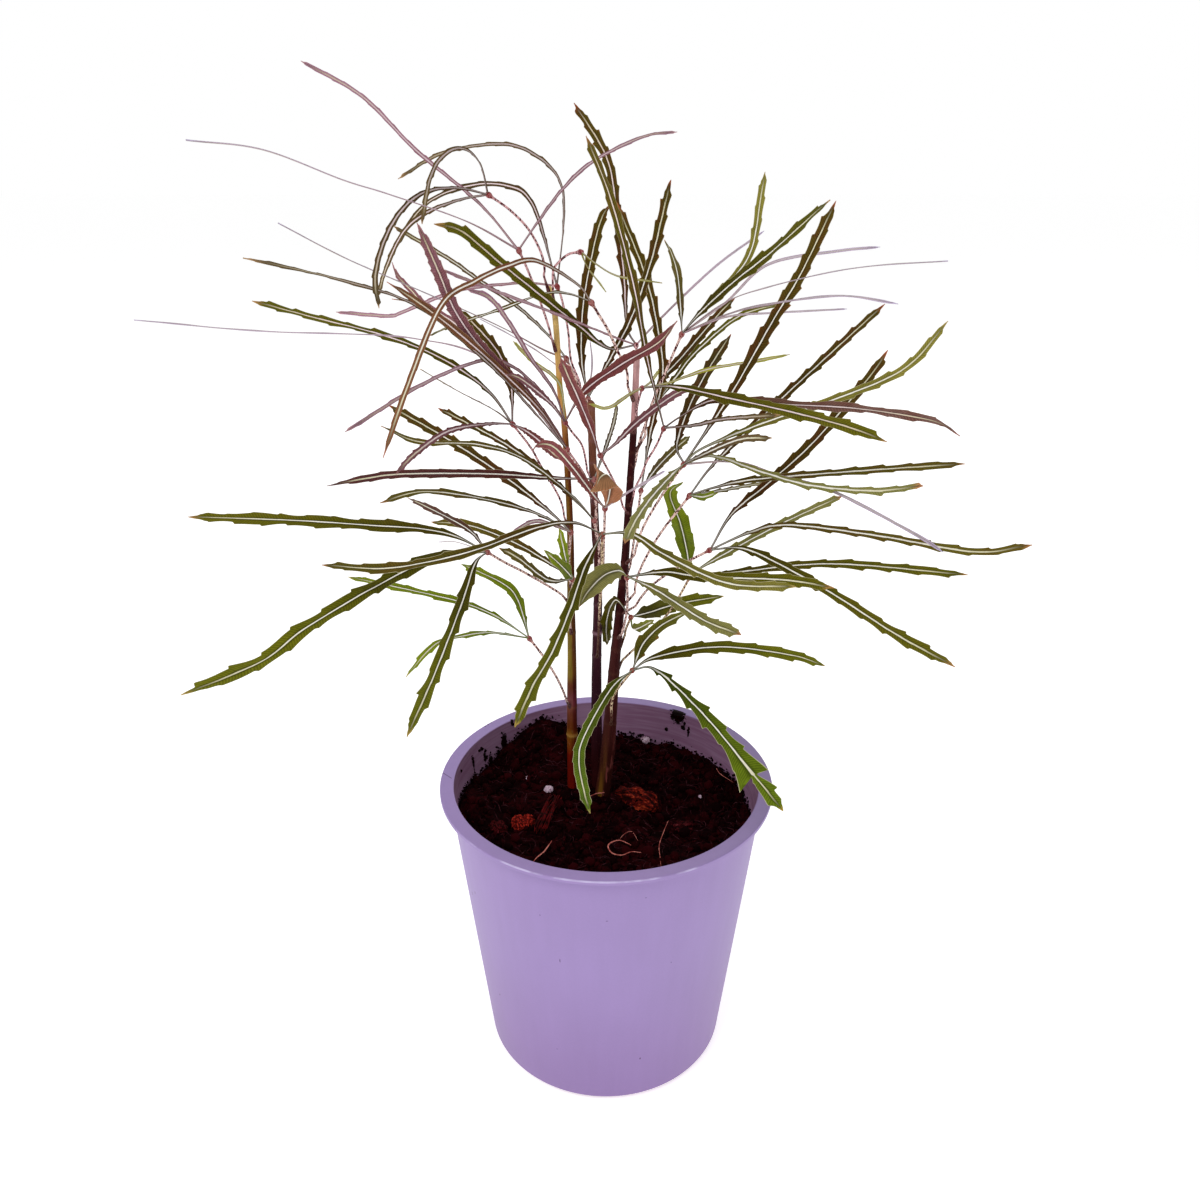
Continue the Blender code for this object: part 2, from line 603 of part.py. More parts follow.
def boxed(left, right, frames, length, kind, half_thick):
    """A closed strip round the leaflet, used to test that it is clear of the others."""
    points, faces = [], []
    for k, (share, _, _) in enumerate(blade_stations(frames, length, kind)):
        up = frame_at(frames, share)[2] * half_thick
        points += [left[k] + up, right[k] + up, right[k] - up, left[k] - up]
    for k in range(len(left) - 1):
        for a in range(4):
            b = (a + 1) % 4
            faces.append((4 * k + a, 4 * k + b, 4 * k + 4 + b))
            faces.append((4 * k + a, 4 * k + 4 + b, 4 * k + 4 + a))
    return BVHTree.FromPolygons(points, faces)


def tube_test(line, radius):
    """A five-sided tube round a line, used to test that it is clear of the others."""
    points, faces = [], []
    sides = 5
    for k, spot in enumerate(line):
        ahead = (line[min(k + 1, len(line) - 1)] - line[max(k - 1, 0)]).normalized()
        one = ahead.orthogonal().normalized()
        two = ahead.cross(one)
        for a in range(sides):
            turn = 2 * math.pi * a / sides
            points.append(spot + (one * math.cos(turn) + two * math.sin(turn)) * radius)
    for k in range(len(line) - 1):
        for a in range(sides):
            b = (a + 1) % sides
            faces.append((sides * k + a, sides * k + b, sides * (k + 1) + b, sides * (k + 1) + a))
    return BVHTree.FromPolygons(points, faces)


def mesh_test(thing):
    mesh = evaluated_mesh(thing)
    tree = BVHTree.FromPolygons([v.co for v in mesh.vertices], [tuple(p.vertices) for p in mesh.polygons])
    bpy.data.meshes.remove(mesh)
    return tree


def crossings(tree, placed, own):
    return sum(len(tree.overlap(other)) for name, other in placed if name != own)


def bends():
    """Ways to bend a piece clear, the smallest first: shift of its tip and of its belly."""
    ways = [(tip, belly) for tip in range(-TIP_SHIFT, TIP_SHIFT + 1, TIP_STEP)
            for belly in range(-BELLY_SHIFT, BELLY_SHIFT + 1, BELLY_STEP)]
    ways.sort(key=lambda way: (abs(way[0]) * 0.6 + abs(way[1]), way))
    return [(tip * MM, belly * MM) for tip, belly in ways]


BENDS = bends()


def plan_stalks(lines, placed):
    """Every stalk's line, bent clear of the stems and of the stalks before it."""
    stalks = {}
    for name, (stem, foot, pixels, hub, depth, _) in LEAVES.items():
        best = None
        for _, belly in [way for way in BENDS if way[0] == 0]:
            line = stalk_line(stem, foot, pixels, hub, depth * MM, lines[stem], belly)
            clear_of_own = line[1:]
            tree = tube_test(clear_of_own, STALK_RADIUS + CLEARANCE)
            count = crossings(tree, placed, name)
            if best is None or count < best[0]:
                best = (count, line, tree)
            if count == 0:
                break
        stalks[name] = best[1]
        placed.append((name, best[2]))
        if best[0]:
            print("stalk still crosses:", name, best[0])
    return stalks


def plan_blades(lines, stalks, placed):
    """Every leaflet's frames, bent clear of whatever was placed before it."""
    blades = {}
    for name, (stem, _, _, hub, depth, leaflets) in LEAVES.items():
        blades[name] = []
        middle = stem_joint(stem, hub, lines[stem])[0]
        for number, (kind, reach, pixels) in enumerate(leaflets):
            roll = math.radians(KINDS[kind][1])
            seeing = [hub, *pixels]
            end = tip_depth(seeing, depth * MM, reach * MM)
            looks = facing(in_space(hub, depth * MM), middle)
            best = None
            for tip, belly in BENDS:
                line = curve_through(route(seeing, depth * MM, end + tip, belly), 4)
                length = length_of(line)
                frames = blade_frames(line, looks, roll, BLADE_STEPS)
                left, right = blade_edges(frames, length, kind, CLEARANCE)
                tree = boxed(left, right, frames, length, kind, BLADE_THICKNESS / 2 + CLEARANCE)
                count = crossings(tree, placed, name)
                if best is None or count < best[0]:
                    best = (count, frames, length, kind, tree)
                if count == 0:
                    break
            blades[name].append(best[1:4])
            placed.append((name, best[4]))
            if best[0]:
                print("leaflet still crosses:", name, number, best[0])
    return blades


def tube(name, line, radii, collection, step):
    """A tube along a line: a bevelled curve with filled caps, made a closed mesh."""
    curve = bpy.data.curves.new(name, "CURVE")
    curve.dimensions = "3D"
    curve.bevel_depth = 1.0
    curve.bevel_resolution = step
    curve.use_fill_caps = True
    spline = curve.splines.new("POLY")
    spline.points.add(len(line) - 1)
    for point, spot, radius in zip(spline.points, line, radii):
        point.co = (*spot, 1)
        point.radius = radius
    thing = place(name, curve, collection)
    mesh = evaluated_mesh(thing)
    remove(thing)
    shape = bmesh.new()
    shape.from_mesh(mesh)
    bmesh.ops.remove_doubles(shape, verts=shape.verts, dist=0.00001)
    bmesh.ops.recalc_face_normals(shape, faces=shape.faces)
    shape.to_mesh(mesh)
    shape.free()
    return place(name, mesh, collection)


def blade(name, frames, length, kind, collection):
    """A toothed leaflet: an open strip between its two edges, given its thickness."""
    left, right = blade_edges(frames, length, kind)
    strip = bmesh.new()
    lefts = [strip.verts.new(spot) for spot in left]
    rights = [strip.verts.new(spot) for spot in right]
    for k in range(len(lefts) - 1):
        strip.faces.new((lefts[k], rights[k], rights[k + 1]))
        strip.faces.new((lefts[k], rights[k + 1], lefts[k + 1]))
    mesh = bpy.data.meshes.new(name)
    strip.to_mesh(mesh)
    strip.free()
    thing = place(name, mesh, collection)
    solid = thing.modifiers.new("Thickness", "SOLIDIFY")
    solid.thickness = BLADE_THICKNESS
    solid.offset = 0
    thick = evaluated_mesh(thing)
    thing.modifiers.remove(solid)
    thing.data = thick
    return thing


def leaf_finish(kind):
    """A leaf takes its finish from the kind of its first leaflet."""
    if kind in YOUNG_KINDS:
        return "leaf_young"
    return "leaf_old" if kind in OLD_KINDS else "leaf_grown"


def leaf(name, stalk, blades, hub, collection, material):
    """One leaf: its stalk, the bead at its hub and its leaflets, joined in one body."""
    share = [k / (len(stalk) - 1) for k in range(len(stalk))]
    thing = tube(name, stalk, [STALK_RADIUS * (1.15 - 0.3 * s) for s in share], collection, 1)
    joined = new_collection(name + "_pieces")
    bead = bmesh.new()
    bmesh.ops.create_icosphere(bead, subdivisions=1, radius=HUB_RADIUS)
    bmesh.ops.translate(bead, verts=bead.verts, vec=hub)
    mesh = bpy.data.meshes.new("hub")
    bead.to_mesh(mesh)
    bead.free()
    place("hub", mesh, joined)
    for number, (frames, length, kind) in enumerate(blades):
        blade(f"leaflet_{number}", frames, length, kind, joined)
    apply_boolean(thing, joined, "UNION")
    bpy.data.collections.remove(joined)
    thing.data.materials.clear()
    thing.data.materials.append(material)
    smooth(thing, 30)
    return thing


def pot(collection, cutters, material):
    """The pot's profile, from the middle of its floor up, over the flange and down, turned."""
    def wall_at(height):
        return BASE_RADIUS + (NECK_RADIUS - BASE_RADIUS) * height / (POT_HEIGHT - LIP_DEPTH)
    profile = [
        (0, FLOOR), (wall_at(FLOOR) - WALL, FLOOR),
        (MOUTH_RADIUS, POT_HEIGHT - LIP_DEPTH), (MOUTH_RADIUS, POT_HEIGHT - LIP_EDGE),
        (MOUTH_RADIUS + LIP_EDGE, POT_HEIGHT), (RIM_RADIUS - LIP_EDGE, POT_HEIGHT),
        (RIM_RADIUS, POT_HEIGHT - LIP_EDGE), (RIM_RADIUS, POT_HEIGHT - LIP_DEPTH),
        (wall_at(POT_HEIGHT - LIP_DEPTH), POT_HEIGHT - LIP_DEPTH),
        (wall_at(BASE_EDGE), BASE_EDGE), (BASE_RADIUS - FOOT_EDGE, FOOT_EDGE),
        (BASE_RADIUS - BASE_EDGE, 0), (0, 0),
    ]
    line = bmesh.new()
    spots = [line.verts.new((x, 0, z)) for x, z in profile]
    for a, b in zip(spots, spots[1:]):
        line.edges.new((a, b))
    mesh = bpy.data.meshes.new("pot")
    line.to_mesh(mesh)
    line.free()
    thing = place("pot", mesh, collection, material)
    screw = thing.modifiers.new("Turned", "SCREW")
    screw.axis = "Z"
    screw.steps = POT_SIDES
    screw.render_steps = POT_SIDES
    screw.use_merge_vertices = True
    screw.merge_threshold = 0.00001
    thing.data = evaluated_mesh(thing)
    thing.modifiers.clear()
    for number in range(DRAIN_COUNT):
        turn = 2 * math.pi * (number + 0.5) / DRAIN_COUNT
        hole = bmesh.new()
        bmesh.ops.create_cone(hole, cap_ends=True, segments=12, radius1=DRAIN_RADIUS,
                              radius2=DRAIN_RADIUS, depth=FLOOR * 4)
        mesh = bpy.data.meshes.new("drain")
        hole.to_mesh(mesh)
        hole.free()
        cutter = place("drain", mesh, cutters)
        cutter.location = (DRAIN_CIRCLE * math.cos(turn), DRAIN_CIRCLE * math.sin(turn), 0)
    apply_boolean(thing, cutters, "DIFFERENCE")
    thing.data.materials.clear()
    thing.data.materials.append(material)
    smooth(thing, 35)
    return thing


def peat_height(x, y):
    """The peat's uneven top: heaped up at the back left and along the left wall."""
    height = SOIL_LEVEL
    for rise, middle_x, middle_y, spread in SOIL_SWELLS:
        away = math.hypot(x / MM - middle_x, y / MM - middle_y) / spread
        height += rise * MM * math.exp(-away ** 2)
    for rise, size in SOIL_LUMPS:
        height += rise * MM * noise.noise(Vector((x, y, rise * MM)) / (size * MM))
    return height


def inner_radius(height):
    low = BASE_RADIUS + (NECK_RADIUS - BASE_RADIUS) * FLOOR / (POT_HEIGHT - LIP_DEPTH) - WALL
    return low + (MOUTH_RADIUS - low) * (height - FLOOR) / (POT_HEIGHT - LIP_DEPTH - FLOOR)


def peat(collection, cutters, lines, material):
    """The filled pot's peat: a tapering plug with an uneven top and a hole for each stem."""
    shape = bmesh.new()
    bottom = FLOOR + GAP
    middle = shape.verts.new((0, 0, peat_height(0, 0)))
    under = shape.verts.new((0, 0, bottom))
    rings = []
    for ring in range(1, SOIL_RINGS + 1):
        row = []
        for k in range(SOIL_SIDES):
            turn = 2 * math.pi * k / SOIL_SIDES
            height = SOIL_LEVEL
            for _ in range(3):
                radius = (inner_radius(height) - SOIL_SIDE_GAP) * ring / SOIL_RINGS
                x, y = radius * math.cos(turn), radius * math.sin(turn)
                height = peat_height(x, y)
            row.append(shape.verts.new((x, y, height)))
        rings.append(row)
    foot = []
    for k in range(SOIL_SIDES):
        turn = 2 * math.pi * k / SOIL_SIDES
        radius = inner_radius(bottom) - SOIL_SIDE_GAP
        foot.append(shape.verts.new((radius * math.cos(turn), radius * math.sin(turn), bottom)))
    for k in range(SOIL_SIDES):
        n = (k + 1) % SOIL_SIDES
        shape.faces.new((middle, rings[0][k], rings[0][n]))
        for inner, outer in zip(rings, rings[1:]):
            shape.faces.new((inner[k], outer[k], outer[n]))
            shape.faces.new((inner[k], outer[n], inner[n]))
        shape.faces.new((rings[-1][k], foot[k], foot[n], rings[-1][n]))
        shape.faces.new((under, foot[n], foot[k]))
    bmesh.ops.recalc_face_normals(shape, faces=shape.faces)
    mesh = bpy.data.meshes.new("peat")
    shape.to_mesh(mesh)
    shape.free()
    thing = place("peat", mesh, collection, material)
    for name, line in lines.items():
        hole = [line[0] - Vector((0, 0, GAP)), *line[1:4]]
        radii = [stem_radius(name, 0) + 2 * GAP] * len(hole)
        tube("hole", hole, radii, cutters, STEM_SIDES_STEP)
    return thing


def crumb(name, collection, cutters, material):
    """A grain or chip half sunk in the peat, and the pocket it lies in."""
    pixel, size, turn = CRUMBS[name]
    spot = on_peat(pixel, SOIL_LEVEL)
    for _ in range(4):
        spot = on_peat(pixel, peat_height(spot.x, spot.y))
    draw = random.Random(name)
    shape = bmesh.new()
    bmesh.ops.create_icosphere(shape, subdivisions=1, radius=0.5)
    for vert in shape.verts:
        if name.startswith("bark"):
            vert.co.z = math.copysign(min(abs(vert.co.z), BARK_FLAT) / BARK_FLAT / 2, vert.co.z)
        vert.co *= 1 + draw.uniform(-CRUMB_UNEVEN, CRUMB_UNEVEN)
        vert.co = Vector((vert.co.x * size[0], vert.co.y * size[1], vert.co.z * size[2])) * MM
    made = []
    for grow, home in ((0.0, collection), (2 * GAP, cutters)):
        copy = shape.copy()
        for vert in copy.verts:
            vert.co += vert.co.normalized() * grow
        bmesh.ops.recalc_face_normals(copy, faces=copy.faces)
        mesh = bpy.data.meshes.new(name)
        copy.to_mesh(mesh)
        copy.free()
        thing = place(name if home is collection else name + "_pocket", mesh, home)
        thing.location = spot + Vector((0, 0, size[2] * CRUMB_PROUD * MM))
        thing.rotation_euler = (0, 0, math.radians(turn))
        made.append(thing)
    shape.free()
    made[0].data.materials.append(material)
    return made[0]


def main():
    clear_scene()
    plant = new_collection("potted_false_aralia")
    cutters = new_collection("cutters")
    paint = {name: finish(name) for name in FINISHES}
    lines = {name: stem_line(name) for name in STEMS}

    pot_shell = pot(plant, cutters, paint["pot_plastic"])
    soil = peat(plant, cutters, lines, paint["peat"])
    for name in CRUMBS:
        grain = "perlite_grain" if name.startswith("perlite") else "bark_chip"
        crumb(name, plant, cutters, paint[grain])
    apply_boolean(soil, cutters, "DIFFERENCE")
    soil.data.materials.clear()
    soil.data.materials.append(paint["peat"])

    placed = [("pot", mesh_test(pot_shell)), ("peat", mesh_test(soil))]
    for name, line in lines.items():
        radii = [stem_radius(name, k / (len(line) - 1)) for k in range(len(line))]
        stem = tube(name, line, radii, plant, STEM_SIDES_STEP)
        stem.data.materials.append(paint["stem_bark"])
        smooth(stem)
        placed.append((name, mesh_test(stem)))

    stalks = plan_stalks(lines, placed)
    blades = plan_blades(lines, stalks, placed)
    for name, (_, _, _, hub, depth, leaflets) in LEAVES.items():
        skin = paint[leaf_finish(leaflets[0][0])]
        leaf(name, stalks[name], blades[name], in_space(hub, depth * MM), plant, skin)


main()
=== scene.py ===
# %% [markdown]
# # A potted false aralia
#
# The real thing is a young plant in a thin plastic nursery pot. Three slim stems stand in dark
# peat, and each carries leaves that open like a hand: a stalk, a small bead, and a few long,
# narrow leaflets with coarse teeth and a pale rib. The packed model already holds every piece
# at its real size. This lesson gives each piece the surface that the real one has, and it
# starts by loading that model, which stays as it is and is only looked at or replaced.

# %% Load the packed model
import bpy
import bmesh
import math
import random
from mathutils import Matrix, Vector, noise
from mathutils.bvhtree import BVHTree


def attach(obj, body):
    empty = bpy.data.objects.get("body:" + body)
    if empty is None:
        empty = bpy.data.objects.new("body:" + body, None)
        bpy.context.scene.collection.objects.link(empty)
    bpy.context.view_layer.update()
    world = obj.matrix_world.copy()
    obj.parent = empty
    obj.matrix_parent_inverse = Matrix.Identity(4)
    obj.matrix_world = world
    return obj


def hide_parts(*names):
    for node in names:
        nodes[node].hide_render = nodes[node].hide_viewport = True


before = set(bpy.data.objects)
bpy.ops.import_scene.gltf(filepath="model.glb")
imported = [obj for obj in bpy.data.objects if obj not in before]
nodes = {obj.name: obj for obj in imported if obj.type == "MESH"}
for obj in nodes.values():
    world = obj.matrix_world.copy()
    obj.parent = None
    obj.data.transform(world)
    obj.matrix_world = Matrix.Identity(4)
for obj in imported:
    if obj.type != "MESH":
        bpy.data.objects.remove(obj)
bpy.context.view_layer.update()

MM = 0.001

# %% [markdown]
# ## The eye
#
# The picture was taken from a little above the rim, close to the plant. The eye's place and
# the lens were worked out from the pot's rim and base, which are circles of known size. The
# same numbers do two jobs: they place the camera, and they turn a place in the picture into
# a point in space, once its depth is known.

# %% The camera, and how it sees
EYE = Vector((-2.2, -308.0, 310.0)) * MM
PITCH = math.radians(22.85)
FOCAL = 990.0
CENTRE = 600.0
SENSOR = 36.0
RIGHT = Vector((1, 0, 0))
VIEW = Vector((0, math.cos(PITCH), -math.sin(PITCH)))
UP = Vector((0, math.sin(PITCH), math.cos(PITCH)))

camera = bpy.data.objects.new("camera", bpy.data.cameras.new("camera"))
camera.data.sensor_width = SENSOR
camera.data.lens = FOCAL / (2 * CENTRE) * SENSOR
camera.location = EYE
camera.rotation_euler = (math.pi / 2 - PITCH, 0, 0)
bpy.context.scene.collection.objects.link(camera)
bpy.context.scene.camera = camera
print("lens in mm:", round(camera.data.lens, 1))


# %% From picture places to points in space
def seen(point):
    """The picture position of a point in space."""
    ray = point - EYE
    away = ray.dot(VIEW)
    return CENTRE + FOCAL * ray.dot(RIGHT) / away, CENTRE - FOCAL * ray.dot(UP) / away


def ray_to(pixel):
    """The way from the eye to a picture position."""
    return VIEW + RIGHT * (pixel[0] - CENTRE) / FOCAL + UP * (CENTRE - pixel[1]) / FOCAL


def in_space(pixel, depth):
    """The point behind a picture position, at this world depth along Y."""
    ray = ray_to(pixel)
    return EYE + ray * (depth - EYE.y) / ray.y


def on_level(pixel, level):
    """The point behind a picture position, at this height."""
    ray = ray_to(pixel)
    return EYE + ray * (level - EYE.z) / ray.z


print("the rim's front edge is seen at", [round(c) for c in seen(Vector((0, -60, 111)) * MM)])

# %% [markdown]
# ## The plan of the plant
#
# These are the same named values from which the solids were made. Each stem, stalk and
# leaflet is a route of picture places, and a real depth or a real length gives the rest.
# Keeping the plan here lets the fine pieces follow the lines of the solids.

# %% The kinds of leaflet, and the stems
# Each kind of leaflet: width in mm, roll about its length in degrees, and the share of its
# length over which it widens from its root
KINDS = {
    "lobed": (8.6, 6, 0.78),
    "broad": (6.2, 8, 0.30),
    "old": (5.0, 6, 0.24),
    "green": (4.2, 14, 0.32),
    "rust": (4.1, -16, 0.38),
    "olive": (3.4, 20, 0.40),
    "red": (4.5, 8, 0.42),
    "mauve": (2.9, -30, 0.46),
    "thin": (2.4, 38, 0.50),
    "young": (2.6, -10, 0.40),
}

# Each stem: depth in mm at its foot and its top, radius in mm there, picture route upwards
STEMS = {
    "stem_left": ((18, 16), (2.2, 1.3), [
        (572, 720), (572, 660), (571, 600), (570.5, 540), (568, 480), (564, 420),
        (560, 390), (555.5, 320), (549.5, 286)]),
    "stem_middle": ((21, 18), (2.3, 1.6), [
        (596.5, 693), (597, 643), (598, 600), (598, 563), (595.4, 530), (593, 470), (591, 400)]),
    "stem_right": ((11, 12), (2.9, 1.5), [
        (608, 750), (611, 710), (615, 660), (619, 620), (622, 590), (625, 560), (629, 500),
        (633, 440), (635, 402), (637, 350)]),
}
STEM_FEET = {"stem_left": (573, 786), "stem_middle": (597, 785), "stem_right": (603, 792)}
print("kinds of leaflet:", len(KINDS), "stems:", len(STEMS))

# %% The leaves on the left stem
# Each leaf: its stem, where its stalk leaves the stem, the stalk's route, its hub and the
# hub's depth in mm. Then its leaflets: kind, real length in mm (plus runs away from the eye,
# minus towards it) and the route to the tip.
LEAVES = {
    "leaf_left_crown": ("stem_left", (556, 351), [(551, 336), (540, 301), (526, 266)], (518.6, 250), 2, [
        ("mauve", 98, [(479, 203), (416, 150), (362, 96), (301, 61)]),
        ("thin", -108, [(468, 222), (391, 195), (343, 180), (264, 150), (186, 140)]),
        ("mauve", 80, [(538, 222), (563, 189), (594, 161), (643, 137), (677, 132)]),
    ]),
    "leaf_left_top": ("stem_left", (550, 292), [(544, 263), (531, 233), (511, 211)], (488, 194.5), 8, [
        ("mauve", -50, [(482, 168), (472, 153), (457, 148), (440, 159), (429, 182), (422, 224)]),
        ("mauve", -75, [(456, 188), (423, 193), (399.5, 213), (383, 244), (375, 279), (379, 308)]),
        ("mauve", 70, [(459, 200), (426, 213), (403, 233), (386, 269), (378, 297)]),
    ]),
    "leaf_left_bud": ("stem_left", (552, 302), [(553, 272), (559, 262), (569, 254)], (581, 252), 16, [
        ("young", -35, [(598.6, 266), (620, 277), (662, 283)]),
        ("young", 24, [(588, 268), (606, 292)]),
    ]),
    "leaf_left_high": ("stem_left", (569, 527),
        [(564, 515), (559, 497), (541, 466), (531, 448)], (512.5, 424), -8, [
        ("mauve", -70, [(487.5, 424), (449, 431), (416, 453), (396, 474)]),
        ("rust", 66, [(511, 385), (498, 352), (470, 320), (457, 311)]),
        ("green", 94, [(488, 391), (444, 360), (388, 337), (311, 317), (252, 301)]),
        ("thin", 60, [(494, 410), (456, 390), (420, 369)]),
        ("red", -48, [(529, 433), (544, 445), (560, 460)]),
    ]),
    "leaf_left_mid": ("stem_left", (571, 585), [(569, 560)], (571, 532), -6, [
        ("rust", 80, [(550, 512), (504, 476), (446, 438), (388, 405)]),
        ("olive", -76, [(537, 514), (487.5, 500), (424.5, 492), (380, 503)]),
        ("mauve", -46, [(537, 521), (512, 534), (506, 543)]),
    ]),
    "leaf_left_inner": ("stem_left", (572, 632), [(570, 612)], (573, 579), 4, [
        ("olive", 72, [(554, 566), (517, 544), (471, 526), (431, 522)]),
        ("old", -30, [(559, 564), (544, 550)]),
        ("olive", -56, [(548, 580), (518, 558), (499, 548)]),
        ("young", -34, [(567, 565), (563, 547), (559, 528)]),
    ]),
    "leaf_left_low": ("stem_left", (572, 602), [(562, 595), (529, 575), (504, 562)], (487, 552), -14, [
        ("green", 99, [(454, 536), (420, 529), (374, 526), (298, 521), (188, 517)]),
        ("old", -108, [(435, 558), (374, 588), (331, 613), (298, 634), (267, 659), (221, 680), (181, 695)]),
        ("old", -84, [(475, 564), (463, 601), (435, 674), (407, 737)]),
        ("olive", 60, [(471, 532), (446, 517), (408, 498)]),
        ("thin", 46, [(456, 542), (439, 542)]),
    ]),
    "leaf_left_lowest": ("stem_left", (569.5, 706), [(567, 702), (558, 680), (543, 656)], (529, 638), 0, [
        ("olive", 75, [(497, 617), (466, 604), (429, 594.5), (348, 577)]),
        ("olive", -66, [(491, 633), (460, 637), (435, 645), (406, 677)]),
        ("green", 54, [(518, 601), (503, 584), (461, 564)]),
    ]),
}
print("leaves at the left:", len(LEAVES))

# %% The leaves in the middle
LEAVES |= {
    "leaf_middle_crown": ("stem_middle", (591.5, 408),
        [(580, 384), (571, 360), (568, 330), (562, 300)], (557, 286), 27, [
        ("mauve", 92, [(564, 219), (560, 181), (537, 156), (502, 144), (443, 153), (398, 179)]),
        ("rust", 85, [(541, 226), (530, 200), (515, 188), (482, 184), (441, 195), (416, 215), (391, 256)]),
        ("mauve", 80, [(524, 283), (474, 287.5), (449, 293), (403, 312), (388, 316), (336, 312)]),
    ]),
    "leaf_middle_high": ("stem_middle", (592, 440), [(585, 408), (577, 382)], (566, 358), 26, [
        ("rust", 84, [(548, 335), (518, 307), (480, 281), (449, 259), (393, 226)]),
        ("thin", -100, [(544, 350), (505, 329), (455, 306), (407, 285), (343, 257), (278, 223)]),
        ("thin", 62, [(562, 368), (537, 351), (512, 336), (480, 319)]),
    ]),
    "leaf_middle_back": ("stem_middle", (593, 462), [(594, 430)], (588, 398), 34, [
        ("rust", -84, [(605, 368), (631, 319), (651, 262), (662, 218), (671, 180)]),
        ("green", 78, [(581.4, 358), (583, 306), (592, 255), (601, 220), (611, 203)]),
        ("thin", 42, [(592, 365), (590, 341)]),
    ]),
    "leaf_middle_young": ("stem_middle", (593.4, 480), [(583, 448), (572, 432)], (565, 422), 2, [
        ("red", -78, [(584, 392), (620, 366), (659, 343), (677, 321)]),
        ("mauve", -68, [(554, 391), (531, 358), (510, 324), (490, 298), (466, 289)]),
        ("young", 42, [(559, 383), (531, 360), (513, 341)]),
        ("mauve", -88, [(540, 390), (510, 365), (480, 361), (423, 384), (345, 432)]),
        ("red", -50, [(551, 403), (522, 380), (505, 374)]),
    ]),
    "leaf_middle_main": ("stem_middle", (594.3, 502), [(586, 478)], (567, 449), -8, [
        ("mauve", -94, [(545, 413), (519, 384), (480, 346), (455, 311), (439, 273), (417, 223)]),
        ("rust", -86, [(540, 410), (500, 370), (457, 332), (423, 306), (387, 282)]),
        ("olive", 82, [(549, 420), (500, 368), (449, 327), (416, 304), (392, 299)]),
        ("thin", -122, [(540, 405), (500, 368), (464, 349), (423, 340), (375, 335), (257, 331),
                        (134, 320)]),
        ("olive", -112, [(500, 375), (455, 335), (433, 316), (397, 297), (343, 281), (311, 273),
                         (243, 258)]),
        ("mauve", 84, [(510, 375), (457, 325), (425, 305), (413, 292), (398, 276), (392, 262)]),
    ]),
    "leaf_middle_side": ("stem_middle", (596, 540), [(596, 508)], (594, 479), 4, [
        ("rust", -88, [(554, 478), (492, 474), (405, 474), (363, 479), (327, 486)]),
        ("olive", 74, [(604, 452), (613, 425), (617, 405)]),
    ]),
    "leaf_middle_fan": ("stem_middle", (598, 575), [(599, 548)], (594, 520), 2, [
        ("rust", 78, [(579, 504), (545, 473), (504, 443), (438, 408)]),
        ("olive", -84, [(572, 496), (525, 460), (479, 445), (418, 442), (381, 426)]),
    ]),
    "leaf_middle_red": ("stem_right", (630, 512), [(617, 488)], (600, 455), -22, [
        ("red", -70, [(591, 428), (577, 394), (569, 377), (561, 358)]),
        ("rust", 62, [(614, 445), (640, 420), (682, 391), (707, 394)]),
    ]),
    "leaf_middle_curl": ("stem_middle", (598, 604), [(603, 570), (604, 540)], (605, 508), -12, [
        ("olive", -62, [(595, 497), (574, 469), (554, 447), (539, 444), (533, 450)]),
        ("red", -42, [(609, 497), (611, 482), (606, 475), (599, 478), (595, 487)]),
        ("thin", -56, [(627, 493), (646, 482), (665, 471)]),
    ]),
    "leaf_middle_low": ("stem_middle", (597, 655), [(600, 600), (602, 566)], (602, 534), -26, [
        ("old", -92, [(585, 567), (570, 610), (552, 653), (533, 686), (515, 727)]),
        ("olive", 96, [(574, 523), (537, 528), (480, 549), (430, 562), (380, 569), (322, 565)]),
        ("green", -84, [(632, 534), (665, 555), (726, 583), (796, 587)]),
    ]),
}
print("leaves at the left and in the middle:", len(LEAVES))

